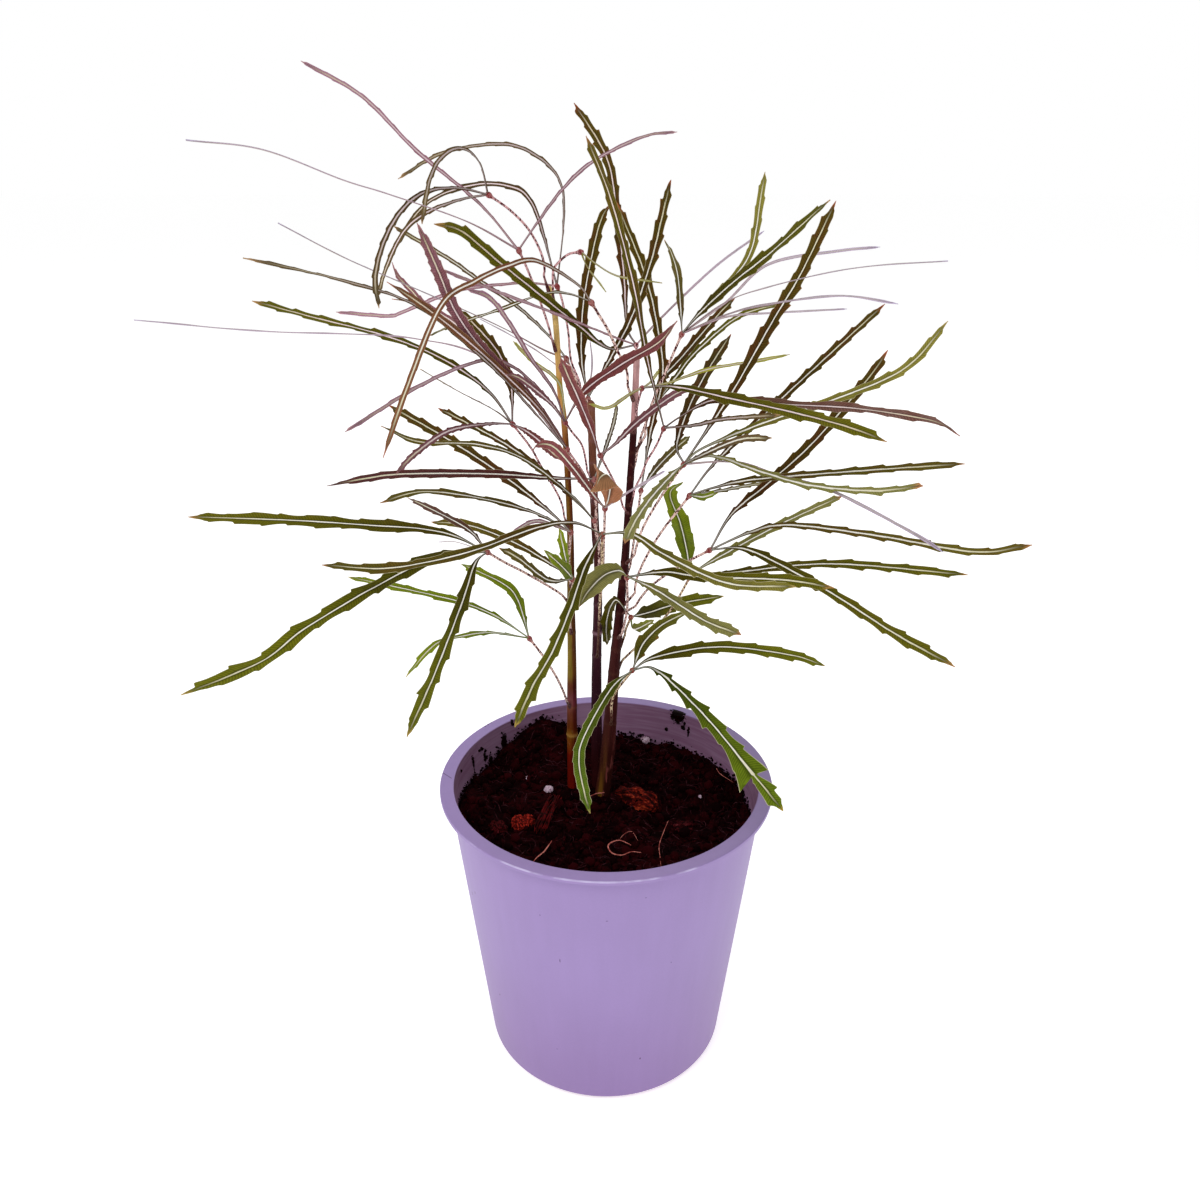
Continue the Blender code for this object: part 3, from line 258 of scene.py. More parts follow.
# %% The leaves on the right stem
LEAVES |= {
    "leaf_right_crown": ("stem_right", (634, 400),
        [(627, 372), (618, 352), (608, 330), (599, 315)], (591, 302), -2, [
        ("rust", -106, [(577, 284), (537, 261), (508, 266), (474, 282), (441, 306), (407, 388),
                        (383, 458)]),
        ("olive", 75, [(569, 294), (544, 294), (505, 308), (453, 326), (429, 336)]),
    ]),
    "leaf_right_top": ("stem_right", (636, 366), [(637, 358)], (636, 345), 20, [
        ("thin", 76, [(662, 317), (716, 266), (764, 231)]),
        ("mauve", -80, [(614, 337), (556, 314), (503, 294), (439, 269)]),
        ("rust", 88, [(627, 326), (624, 275), (616, 205), (606, 156), (574, 103)]),
        ("mauve", -84, [(608, 348), (579, 326), (544, 298), (499, 262), (461, 231), (434, 224)]),
    ]),
    "leaf_right_bud": ("stem_right", (633.5, 432), [(637, 408)], (642, 388), -4, [
        ("young", 56, [(668, 383), (710, 369), (752, 362), (790, 354.5)]),
        ("young", 24, [(651, 382), (659, 370)]),
        ("young", -30, [(630, 394), (608, 408), (589, 404)]),
        ("rust", -86, [(675, 387), (731, 399), (794, 413), (850, 428), (887, 442)]),
    ]),
    "leaf_right_high": ("stem_right", (632.5, 452), [(648, 415), (668, 366)], (682, 333.5), 18, [
        ("green", -80, [(702, 311), (734, 282), (772, 252), (830, 200)]),
        ("rust", 76, [(712, 300), (749, 256), (761, 196), (765, 172)]),
        ("thin", 82, [(726, 302), (769, 264), (838, 251), (880, 247)]),
        ("rust", -90, [(726, 302), (769, 287), (822, 274), (872, 266), (948, 261)]),
        ("green", -78, [(726, 315), (765, 305), (838, 296), (898, 304)]),
        ("olive", 66, [(726, 317), (772, 313), (847, 309)]),
        ("olive", 62, [(678, 280), (672, 256), (664.5, 240)]),
    ]),
    "leaf_right_back": ("stem_right", (631, 478), [(640, 440)], (650, 412), 34, [
        ("rust", 72, [(661, 381), (682, 357), (719, 314), (735, 298)]),
        ("green", 78, [(676, 377), (696, 352), (738, 317), (780, 304)]),
    ]),
    "leaf_right_main": ("stem_right", (630, 505),
        [(634, 492), (641, 476), (647, 461), (656, 446)], (664, 428), -4, [
        ("mauve", -62, [(696, 425), (724, 419), (780, 415)]),
        ("rust", -98, [(682, 416), (717, 400), (786, 405), (855, 409), (931, 421), (960, 436)]),
        ("olive", 96, [(651, 377), (643, 338), (633, 284), (611, 201), (586, 136)]),
    ]),
    "leaf_right_tall": ("stem_right", (623.5, 583), [(634, 540)], (641, 490), 28, [
        ("rust", 94, [(651, 430), (663, 375), (656, 319), (643, 269), (615, 200)]),
        ("olive", 70, [(655, 470), (672, 452), (690, 436)]),
    ]),
    "leaf_right_fan": ("stem_right", (626, 562), [(642, 530), (664, 492)], (684, 464), -16, [
        ("rust", 97, [(710, 426), (735, 388), (773, 321), (802, 272), (836, 201)]),
        ("old", -68, [(672, 475), (652, 497), (636, 520), (625, 543)]),
        ("rust", 72, [(677, 445), (689, 408), (706, 374), (731, 334)]),
        ("olive", 98, [(703, 448), (766, 422), (838, 398), (905, 368), (948, 321)]),
        ("rust", -60, [(696, 458), (738, 440), (772, 438)]),
        ("olive", -86, [(713, 456), (759, 471), (808, 485), (872, 491), (923, 486)]),
        ("mauve", -94, [(735, 462), (780, 476), (832, 491), (911, 532), (943, 552)]),
    ]),
    "leaf_right_side": ("stem_right", (627, 604), [(638, 575), (658, 537)], (690, 495), 4, [
        ("rust", 90, [(713, 465), (759, 420), (815, 368), (885, 304)]),
        ("green", -92, [(713, 488), (751, 480), (847, 472), (965, 464)]),
        ("olive", 58, [(719, 491), (751, 485), (770, 483)]),
        ("young", -22, [(703, 497), (718, 493)]),
    ]),
    "leaf_right_low": ("stem_right", (624, 612), [(649, 588), (680, 566)], (710, 550), -14, [
        ("rust", 91, [(732, 514), (769, 483), (815, 441), (868, 379), (888, 350)]),
        ("olive", -106, [(751, 532), (790, 525), (879, 536), (974, 552), (1032, 545)]),
        ("green", -95, [(739, 548), (767, 558), (831, 593), (895, 634), (955, 667)]),
    ]),
    "leaf_right_lower": ("stem_right", (614, 672), [(622, 661), (650, 634), (672, 608)], (690, 577), 12, [
        ("broad", 60, [(687, 553), (680, 523), (670, 494), (683, 482)]),
        ("old", 76, [(707, 564), (777, 526), (842, 496)]),
        ("green", -94, [(739, 572), (831, 564), (968, 575)]),
    ]),
    "leaf_right_front": ("stem_right", (620, 636), [(627, 610)], (627, 577), -18, [
        ("green", -80, [(665, 572), (703, 577), (783, 580), (834, 588)]),
        ("green", -72, [(633, 579), (656, 590), (681, 606), (707, 622), (741, 635)]),
        ("broad", -52, [(619, 571), (604, 576), (589, 591), (579, 607)]),
    ]),
    "leaf_right_inner": ("stem_right", (616.5, 648), [(625, 633)], (631, 617), 2, [
        ("old", 60, [(648, 613), (678, 604), (724, 596)]),
        ("old", -32, [(634, 629), (654, 620)]),
        ("green", 40, [(616, 600), (607, 620), (607, 645)]),
    ]),
    "leaf_right_lowest": ("stem_right", (608, 722), [(613, 698)], (632.5, 670), -6, [
        ("old", -76, [(611, 689), (584, 737), (579, 762), (584, 791), (590, 813)]),
        ("lobed", -84, [(656, 670), (703, 714), (748, 768), (783, 811)]),
        ("old", 82, [(656, 657), (719, 647), (790, 655), (825, 666)]),
        ("broad", 58, [(643, 644), (662, 625), (688, 612)]),
    ]),
}
print("all leaves:", len(LEAVES), "leaflets:", sum(len(leaf[5]) for leaf in LEAVES.values()))

# %% [markdown]
# ## Lines in space
#
# A smooth line through a few points is all that a stem or a leaflet needs. The rule used
# here passes through every point and needs no handles: at each point, the line runs parallel
# to the way between that point's two neighbours. The tip of a leaflet lies at the depth that
# gives the leaflet its real length, found by halving.

# %% Smooth lines
def curve_through(points, steps):
    """A smooth curve through the points, with this many steps from one to the next."""
    ends = [points[0] * 2 - points[1], *points, points[-1] * 2 - points[-2]]
    result = []
    for a, b, c, d in zip(ends, ends[1:], ends[2:], ends[3:]):
        for step in range(steps):
            t = step / steps
            result.append(0.5 * (2 * b + (c - a) * t + (2 * a - 5 * b + 4 * c - d) * t * t
                                 + (3 * b - a - 3 * c + d) * t ** 3))
    return result + [points[-1]]


def length_of(line):
    return sum((b - a).length for a, b in zip(line, line[1:]))


def evenly(line, count):
    """The line again, as this many points at even distances."""
    total = length_of(line)
    result, walked, k = [], 0.0, 0
    for number in range(count):
        wanted = total * number / (count - 1)
        while k < len(line) - 2 and walked + (line[k + 1] - line[k]).length < wanted:
            walked += (line[k + 1] - line[k]).length
            k += 1
        span = (line[k + 1] - line[k]).length
        result.append(line[k].lerp(line[k + 1], min((wanted - walked) / span, 1)))
    return result


# %% Routes, and the depth of a tip
FARTHEST_TIP = 95 * MM
HALVINGS = 18


def route(pixels, start, end, belly=0.0):
    """Points in space behind the picture positions, with depth from start to end."""
    walked = [0.0]
    for (u, v), (p, q) in zip(pixels, pixels[1:]):
        walked.append(walked[-1] + math.hypot(p - u, q - v))
    points = []
    for pixel, part in zip(pixels, walked):
        share = part / walked[-1]
        points.append(in_space(pixel, start + (end - start) * share + belly * math.sin(math.pi * share)))
    return points


def tip_depth(pixels, start, reach):
    """The depth of the tip that gives the leaflet its real length."""
    side = 1 if reach > 0 else -1
    near, far = 0.0, FARTHEST_TIP
    for _ in range(HALVINGS):
        middle = (near + far) / 2
        if length_of(route(pixels, start, start + side * middle)) < abs(reach):
            near = middle
        else:
            far = middle
    return start + side * near


# %% The stems' middle lines
SOIL_LEVEL = 96 * MM
HOLE_DEPTH = 18 * MM


def stem_line(name, steps=2):
    """The middle line of a stem, from its foot in the peat upwards."""
    (foot, top), _, pixels = STEMS[name]
    start = on_level(STEM_FEET[name], SOIL_LEVEL)
    points = [in_space(p, foot * MM + (top - foot) * MM * k / (len(pixels) - 1))
              for k, p in enumerate(pixels)]
    below = Vector((start.x, start.y, SOIL_LEVEL - HOLE_DEPTH))
    return [below] + curve_through([start] + points, steps)


def stem_radius(name, share):
    low, high = STEMS[name][1]
    return (low + (high - low) * share) * MM


def stem_joint(name, pixel, line):
    """Where on the stem's middle line a stalk leaves it, and the stem's radius there."""
    rows = [seen(point)[1] for point in line]
    for k in range(1, len(line) - 1):
        if rows[k] >= pixel[1] >= rows[k + 1]:
            t = (rows[k] - pixel[1]) / max(rows[k] - rows[k + 1], 1e-9)
            return line[k].lerp(line[k + 1], t), stem_radius(name, (k + t) / (len(line) - 1))
    return line[-2].copy(), stem_radius(name, 1)


stem_lines = {name: stem_line(name) for name in STEMS}
print("stems in mm:", {name: round(length_of(line) / MM) for name, line in stem_lines.items()})

# %% [markdown]
# ## Which way each piece was bent
#
# Some stalks and leaflets of the model are bent a little in depth, to pass clear of their
# neighbours. The plan doesn't say how much, but the solid does. Each possible bend is laid
# against the node's own surface, and the one that lies on it is kept.

# %% How far a point lies from a solid
def skin_of(name):
    """A tree for asking how far a point is from a node's surface."""
    mesh = nodes[name].data
    return BVHTree.FromPolygons([v.co for v in mesh.vertices], [tuple(p.vertices) for p in mesh.polygons])


def off_by(skin, spots, allowed=0.0):
    """How far these points lie from the surface in all, beyond what is allowed for each."""
    return sum(max(skin.find_nearest(spot)[3] - allowed, 0) for spot in spots)


foot_depth = off_by(skin_of("stem_right"), [stem_lines["stem_right"][1]])
print("the right stem's middle line lies", round(foot_depth / MM, 1), "mm under its bark")

# %% Lines that lie on the solids
# The gap that two solids keep
GAP = 0.3 * MM
# A stalk starts in its stem, goes straight out and a little up to its shoulder, then turns
FOOT_SUNK = 0.6
SHOULDER_REACH = 2.2 * MM
SHOULDER_RISE = 0.8 * MM
STALK_RADIUS = 0.85 * MM
STALK_STEP = 1.2 * MM
SLANT_STEPS = 6
# The shifts of a tip in depth and the bends that are tried, and the shares of the length tested
TIP_SHIFTS = [shift * MM for shift in range(-36, 37, 4)]
BELLIES = [belly * MM for belly in sorted(range(-18, 19, 3), key=abs)]
TEST_SHARES = (0.14, 0.3, 0.5, 0.7, 0.93)
BLADE_ALLOWED = 0.3 * MM
LINE_STEPS = 12


def stalk_line(stem, foot, pixels, hub, hub_depth, belly):
    """The stalk's middle line: it leaves the stem square to it and ends at the hub."""
    joint, radius = stem_joint(stem, foot, stem_lines[stem])
    points = route([seen(joint), *pixels, hub], joint.y, hub_depth, belly)
    aim = points[1] - joint
    aim.z = 0
    if aim.length < 1 * MM:
        aim = Vector((0, points[-1].y - joint.y, 0))
    aim.normalize()
    start = joint + aim * (radius + GAP)
    shoulder = start + aim * SHOULDER_REACH + Vector((0, 0, SHOULDER_RISE))
    return [joint + aim * radius * FOOT_SUNK, start] + curve_through([shoulder] + points[1:], LINE_STEPS)


def fitted_stalk(skin, stem, foot, pixels, hub, depth):
    """The stalk's line with the belly that the solid has, its first bend drawn out to a slant."""
    lines = [stalk_line(stem, foot, pixels, hub, depth, belly) for belly in BELLIES]
    best = min(lines, key=lambda line: off_by(skin, evenly(line, 9)[3:8], STALK_RADIUS))
    steps = evenly(best, max(8, round(length_of(best) / STALK_STEP)))
    return curve_through([steps[0], *steps[min(SLANT_STEPS, len(steps) // 2):]], 2)


def fitted_leaflet(skin, pixels, depth, reach):
    """The leaflet's line with the tip and the belly that the solid has."""
    end = tip_depth(pixels, depth, reach)
    tip = min(TIP_SHIFTS, key=lambda s: (
        round(off_by(skin, [in_space(pixels[-1], end + s)]) / MM, 1), abs(s)))
    lines = [curve_through(route(pixels, depth, end + tip, belly), LINE_STEPS) for belly in BELLIES]

    def miss(line):
        steps = evenly(line, 101)
        return off_by(skin, [steps[round(share * 100)] for share in TEST_SHARES], BLADE_ALLOWED)
    return min(lines, key=miss)


# %% [markdown]
# ## Floor and light
#
# The plant stands on a plain pale floor, which glows a little, as the lit table of a studio
# does, so that it stays white to the horizon. The light is what such a studio would use: one
# large soft lamp at the upper left, a wide fill from the right, one behind for the leaves'
# edges, and a bright surround. Large lamps are chosen because they keep the shadows soft.

# %% The floor
FLOOR_SIZE = 60.0
FLOOR_GLOW = 0.5


def new_object(name, data):
    thing = bpy.data.objects.new(name, data)
    bpy.context.scene.collection.objects.link(thing)
    return thing


def mesh_from(shape, name):
    """A plain mesh made from a bmesh, which is then let go."""
    mesh = bpy.data.meshes.new(name)
    shape.to_mesh(mesh)
    shape.free()
    return mesh


square = bmesh.new()
bmesh.ops.create_grid(square, x_segments=1, y_segments=1, size=FLOOR_SIZE / 2)
floor = new_object("floor", mesh_from(square, "floor"))
floor_paint = bpy.data.materials.new("pale floor")
floor_paint.use_nodes = True
for name, value in {"Base Color": (0.9, 0.9, 0.9, 1), "Roughness": 0.9, "Specular IOR Level": 0.1,
                    "Emission Color": (1, 1, 1, 1), "Emission Strength": FLOOR_GLOW}.items():
    floor_paint.node_tree.nodes["Principled BSDF"].inputs[name].default_value = value
floor.data.materials.append(floor_paint)
print("floor:", FLOOR_SIZE, "m wide")

# %% Three soft lamps
# Each lamp's place and width in metres, and its power in watts
LAMPS = {
    "key": ((-0.7, -0.9, 1.5), 0.9, 12.0),
    "fill": ((1.2, -0.8, 0.9), 1.2, 3.0),
    "back": ((0.4, 1.3, 1.3), 1.0, 5.0),
}
AIM = Vector((0, 0, 150)) * MM
for name, (place, width, power) in LAMPS.items():
    lamp = bpy.data.lights.new(name, "AREA")
    lamp.shape = "DISK"
    lamp.size = width
    lamp.energy = power
    thing = new_object(name, lamp)
    thing.location = place
    thing.rotation_euler = (AIM - thing.location).to_track_quat("-Z", "Y").to_euler()
    print(name, "lamp at", round((AIM - thing.location).length, 2), "m")

# %% A surround that looks white but lights more weakly, so that shadows keep their depth
SURROUND = 0.55
world = bpy.data.worlds.new("studio")
world.use_nodes = True
links, boxes = world.node_tree.links, world.node_tree.nodes
rays = boxes.new("ShaderNodeLightPath")
strength = boxes.new("ShaderNodeMapRange")
strength.inputs["To Min"].default_value = SURROUND
links.new(rays.outputs["Is Camera Ray"], strength.inputs["Value"])
boxes["Background"].inputs["Color"].default_value = (1, 1, 1, 1)
links.new(strength.outputs["Result"], boxes["Background"].inputs["Strength"])
bpy.context.scene.world = world
bpy.context.scene.view_settings.view_transform = "Standard"
print("the surround lights with a strength of", SURROUND)

# %% [markdown]
# ## Arithmetic on sockets
#
# Materials and Geometry Nodes are both made of small sums. Written node by node, a sum of
# three terms takes ten lines, so one small class wraps a socket and lets the plain signs of
# arithmetic stand for the Math nodes. It looks at what flows in: with a colour or a vector
# among the values it takes the Vector Math node, and with numbers only the Math node.

# %% A wire
def sums(operation, turned=False):
    """A method that adds a node of this operation, with its own wire first, or last if turned."""
    def add_node(self, *others):
        values = (*others, self) if turned else (self, *others)
        return self.tree.maths(operation, *values)
    return add_node


class Wire:
    """What comes out of a node, ready for plain arithmetic."""

    def __init__(self, tree, socket):
        self.tree = tree
        self.socket = socket

    __add__ = __radd__ = sums("ADD")
    __mul__ = __rmul__ = sums("MULTIPLY")
    __sub__ = sums("SUBTRACT")
    __rsub__ = sums("SUBTRACT", turned=True)
    __truediv__ = sums("DIVIDE")
    __rtruediv__ = sums("DIVIDE", turned=True)
    __pow__ = sums("POWER")
    __abs__ = sums("ABSOLUTE")
    __gt__ = sums("GREATER_THAN")
    __lt__ = sums("LESS_THAN")
    least = sums("MINIMUM")
    floor = sums("FLOOR")
    sine = sums("SINE")
    cosine = sums("COSINE")
    sign = sums("SIGN")

    def between(self, low, high):
        """Rises smoothly from 0 at low to 1 at high; with low above high, it falls."""
        return self.tree.node("ShaderNodeMapRange", {"interpolation_type": "SMOOTHSTEP"},
                              {"Value": self, "From Min": low, "From Max": high})


print("a wire knows", [name for name in vars(Wire) if not name.startswith("_")])


# %% A tree to hold nodes
class Tree:
    """A node tree, with one method for any node and one for the sums."""

    def __init__(self, made):
        self.made = made

    def node(self, kind, settings=None, sockets=None, output=0):
        node = self.made.nodes.new(kind)
        for name, value in (settings or {}).items():
            setattr(node, name, value)
        for key, value in (sockets or {}).items():
            self.feed(node.inputs[key], value)
        return Wire(self, node.outputs[output]) if len(node.outputs) else None

    def feed(self, socket, value):
        if isinstance(value, Wire):
            self.made.links.new(value.socket, socket)
        elif isinstance(value, list):
            for wire in value:
                self.feed(socket, wire)
        elif socket.type == "VECTOR" and isinstance(value, (int, float)):
            socket.default_value = (value, value, value)
        elif socket.type == "RGBA":
            socket.default_value = (*value, 1)
        else:
            socket.default_value = value

    def maths(self, operation, *values):
        kinds = [v.socket.type if isinstance(v, Wire) else type(v).__name__ for v in values]
        flows = [kind not in ("VALUE", "INT", "BOOLEAN", "int", "float") for kind in kinds]
        kind = "ShaderNodeVectorMath" if any(flows) else "ShaderNodeMath"
        return self.node(kind, {"operation": operation}, dict(enumerate(values)))

    def mix(self, share, low, high):
        """A colour between two colours."""
        return self.node("ShaderNodeMix", {"data_type": "RGBA"}, {0: share, 6: low, 7: high}, 2)

    def noise(self, place, scale, detail=2.0, rough=0.5, output=0):
        """Cloudy noise: its value at output 0, its colour at output 1."""
        return self.node("ShaderNodeTexNoise", {}, {"Vector": place, "Scale": scale, "Detail": detail,
                                                    "Roughness": rough}, output)


print("a tree knows", [name for name in vars(Tree) if not name.startswith("_")])

# %% [markdown]
# ## Growing a piece from guide lines
#
# A leaf is many pieces of one kind, each along its own line, and that is what Geometry Nodes
# do well. The script lays only the guide: bare lines whose points carry a few named values,
# such as which way is up and how wide the leaflet is there. The tree turns each line into a
# surface, so all leaflets follow one rule. At the end, the result is kept as a plain mesh.

# %% Guide lines with named values
class Guide:
    """Bare lines whose points carry named values."""

    def __init__(self):
        self.spots = []
        self.edges = []
        self.values = {}

    def add_line(self, rows):
        """Add one line; each row is a point and a dictionary of its values."""
        first = len(self.spots)
        for spot, values in rows:
            self.spots.append(spot)
            for name, value in values.items():
                self.values.setdefault(name, []).append(value)
        self.edges += [(k, k + 1) for k in range(first, len(self.spots) - 1)]

    def mesh(self, name):
        mesh = bpy.data.meshes.new(name)
        mesh.from_pydata(self.spots, self.edges, [])
        for name, values in self.values.items():
            if isinstance(values[0], Vector):
                attribute = mesh.attributes.new(name, "FLOAT_VECTOR", "POINT")
                attribute.data.foreach_set("vector", [c for value in values for c in value])
            else:
                attribute = mesh.attributes.new(name, "FLOAT", "POINT")
                attribute.data.foreach_set("value", values)
        return mesh


print("a guide keeps", list(vars(Guide())))


# %% A new growth tree
def new_growth(name, sizes):
    """A Geometry Nodes tree with named sizes, and the wires by which they come in."""
    made = bpy.data.node_groups.new(name, "GeometryNodeTree")
    sockets = [("Geometry", "NodeSocketGeometry"), *[(label, "NodeSocketFloat") for label in sizes],
               ("Seed", "NodeSocketInt"), ("Material", "NodeSocketMaterial")]
    for label, kind in sockets:
        socket = made.interface.new_socket(label, in_out="INPUT", socket_type=kind)
        if label in sizes:
            socket.default_value = sizes[label]
    made.interface.new_socket("Geometry", in_out="OUTPUT", socket_type="NodeSocketGeometry")
    entry = made.nodes.new("NodeGroupInput")
    tree = Tree(made)
    return tree, {label: Wire(tree, entry.outputs[label]) for label, _ in sockets}


def harvest(tree, geometry, material):
    """End the tree with real faces and one material."""
    real = tree.node("GeometryNodeRealizeInstances", {}, {"Geometry": geometry})
    painted = tree.node("GeometryNodeSetMaterial", {}, {"Geometry": real, "Material": material})
    tree.node("NodeGroupOutput", {}, {0: painted})
    print(tree.made.name, "has", len(tree.made.nodes), "nodes")


# %% A plain mesh from a growth tree
def grown(name, guide, tree, material, seed=0):
    """The plain, smooth-shaded mesh object that the tree makes from the guide."""
    thing = new_object(name, guide)
    modifier = thing.modifiers.new("growth", "NODES")
    modifier.node_group = tree.made
    given = {"Material": material, "Seed": seed}
    for socket in tree.made.interface.items_tree:
        if socket.in_out == "INPUT" and socket.name in given:
            modifier[socket.identifier] = given[socket.name]
    depsgraph = bpy.context.evaluated_depsgraph_get()
    mesh = bpy.data.meshes.new_from_object(thing.evaluated_get(depsgraph), depsgraph=depsgraph,
                                           preserve_all_data_layers=True)
    mesh.shade_smooth()
    thing.modifiers.remove(modifier)
    thing.data = mesh
    return thing


# %% Steps that several growth trees share
def attribute(tree, name, kind="FLOAT"):
    return tree.node("GeometryNodeInputNamedAttribute", {"data_type": kind}, {"Name": name})


def vector(tree, name):
    return attribute(tree, name, "FLOAT_VECTOR")


def stored(tree, geometry, name, value):
    return tree.node("GeometryNodeStoreNamedAttribute", {"data_type": "FLOAT", "domain": "POINT"},
                     {"Geometry": geometry, "Name": name, "Value": value})


def swept(tree, geometry, sides):
    """Each guide line as a closed skin, whose points know how far round they are."""
    ring = tree.node("GeometryNodeCurvePrimitiveCircle", {}, {"Resolution": sides, "Radius": 1 * MM})
    index = tree.node("GeometryNodeInputIndex")
    ring = stored(tree, ring, "turn", index / sides * 2 * math.pi)
    line = tree.node("GeometryNodeMeshToCurve", {}, {"Mesh": geometry})
    return tree.node("GeometryNodeCurveToMesh", {},
                     {"Curve": line, "Profile Curve": ring, "Fill Caps": True})


def set_at(tree, skin, place, socket="Position"):
    return tree.node("GeometryNodeSetPosition", {}, {"Geometry": skin, socket: place})


def set_round(tree, skin, radius):
    """A round skin: each point is set out from its line by this radius."""
    turn = attribute(tree, "turn")
    outward = vector(tree, "side") * turn.cosine() + vector(tree, "up") * turn.sine()
    return set_at(tree, skin, vector(tree, "spot") + outward * radius)


# %% [markdown]
# ## A leaflet's skin
#
# A real leaflet is a strap some 5 mm wide and a third of a millimetre thick. A pale rib stands
# up along its middle, the two halves fold up a little from it, and the edge steps out in
# coarse teeth that all point to the tip. The ring that is swept along the guide has twelve
# points, crowded at the rib. Each point's place is then worked out from its angle: out to
# the edge, up from the middle plane, and a little forward where a tooth or a lobe hooks to
# the tip. The stalk is swept with the same ring, which is kept round for it.

# %% The leaf tree
RING_SIDES = 12
# How strongly the ring's points crowd at the rib
CROWDING = 2.94
# Where between two teeth the edge is farthest out, how it rises to there, and the smallest tooth
TOOTH_PEAK, TOOTH_CURVE, SMALLEST_TOOTH = 0.90, 2.4, 0.30
# How far teeth and lobes hook forward, as a share of how far they stand out
TOOTH_HOOK, LOBE_HOOK = 0.5, 0.80
# How far the teeth of one edge are shifted from the other's, and from one leaflet to the next
EDGE_SHIFT, LEAFLET_SHIFT = 0.23, 0.37
leaf_tree, size = new_growth("leaf growth", {
    "Tooth pitch": 6.8 * MM, "Rib": 0.20 * MM, "Fold": 0.20, "Wave": 0.22, "Wave length": 21 * MM})
skin = swept(leaf_tree, size["Geometry"], RING_SIDES)
turn, stalk, half, reach, number = (
    attribute(leaf_tree, name) for name in ("turn", "stalk", "half", "reach", "number"))
cosine = turn.cosine()
sign = cosine.sign()
across = sign * abs(cosine) ** CROWDING
upper = turn.sine()

# Each edge has its own teeth: they widen slowly, drop sharply, and no two are quite alike
pitch = size["Tooth pitch"] * attribute(leaf_tree, "coarse")
phase = reach / pitch + sign * EDGE_SHIFT + number * LEAFLET_SHIFT
key = leaf_tree.node("ShaderNodeCombineXYZ", {}, {"X": phase.floor(), "Y": sign, "Z": number + size["Seed"]})
draw = leaf_tree.node("ShaderNodeTexWhiteNoise", {"noise_dimensions": "3D"}, {"Vector": key})
part = leaf_tree.maths("FRACT", phase)
tooth = ((part / TOOTH_PEAK) ** TOOTH_CURVE).least((1 - part) / (1 - TOOTH_PEAK))
tooth = tooth * (SMALLEST_TOOTH + (1 - SMALLEST_TOOTH) * draw) * attribute(leaf_tree, "bite")
lobe = attribute(leaf_tree, "lobe_right") * (sign > 0) + attribute(leaf_tree, "lobe_left") * (sign < 0)
width = half + tooth + lobe
hook = (tooth * TOOTH_HOOK + lobe * LOBE_HOOK) * across * across * (1 - stalk)

# The lift of each point above the leaflet's middle plane
fold = abs(across) * half * size["Fold"]
wave = (reach / size["Wave length"] * 2 * math.pi + number).sine() * across * half * size["Wave"]
rib = (abs(across) < 0.01) * upper.sign() * size["Rib"] * half.between(0.4 * MM, 1.6 * MM)
flat = upper * attribute(leaf_tree, "thick") + fold + wave + rib
lift = flat + (upper * half - flat) * stalk
sideways = across * width + (cosine * half - across * width) * stalk
side, up = vector(leaf_tree, "side"), vector(leaf_tree, "up")
ahead = leaf_tree.maths("CROSS_PRODUCT", side, up)
skin = set_at(leaf_tree, skin, vector(leaf_tree, "spot") + side * sideways + up * lift + ahead * hook)
for name, value in (("across", across), ("upper", upper), ("tooth", tooth * abs(across))):
    skin = stored(leaf_tree, skin, name, value)
harvest(leaf_tree, skin, size["Material"])

# %% [markdown]
# ## Guides for the leaves
#
# A leaflet starts as a thin round stalklet, widens, keeps its width like a strap and closes in
# a short point. The oldest kind, at the foot of the plant, widens towards its tip instead and
# breaks into big lobes there. The colours belong to the age of a leaflet: the crown is
# mauve and rust, the middle dark olive with a bronze cast, and the foot plain green.

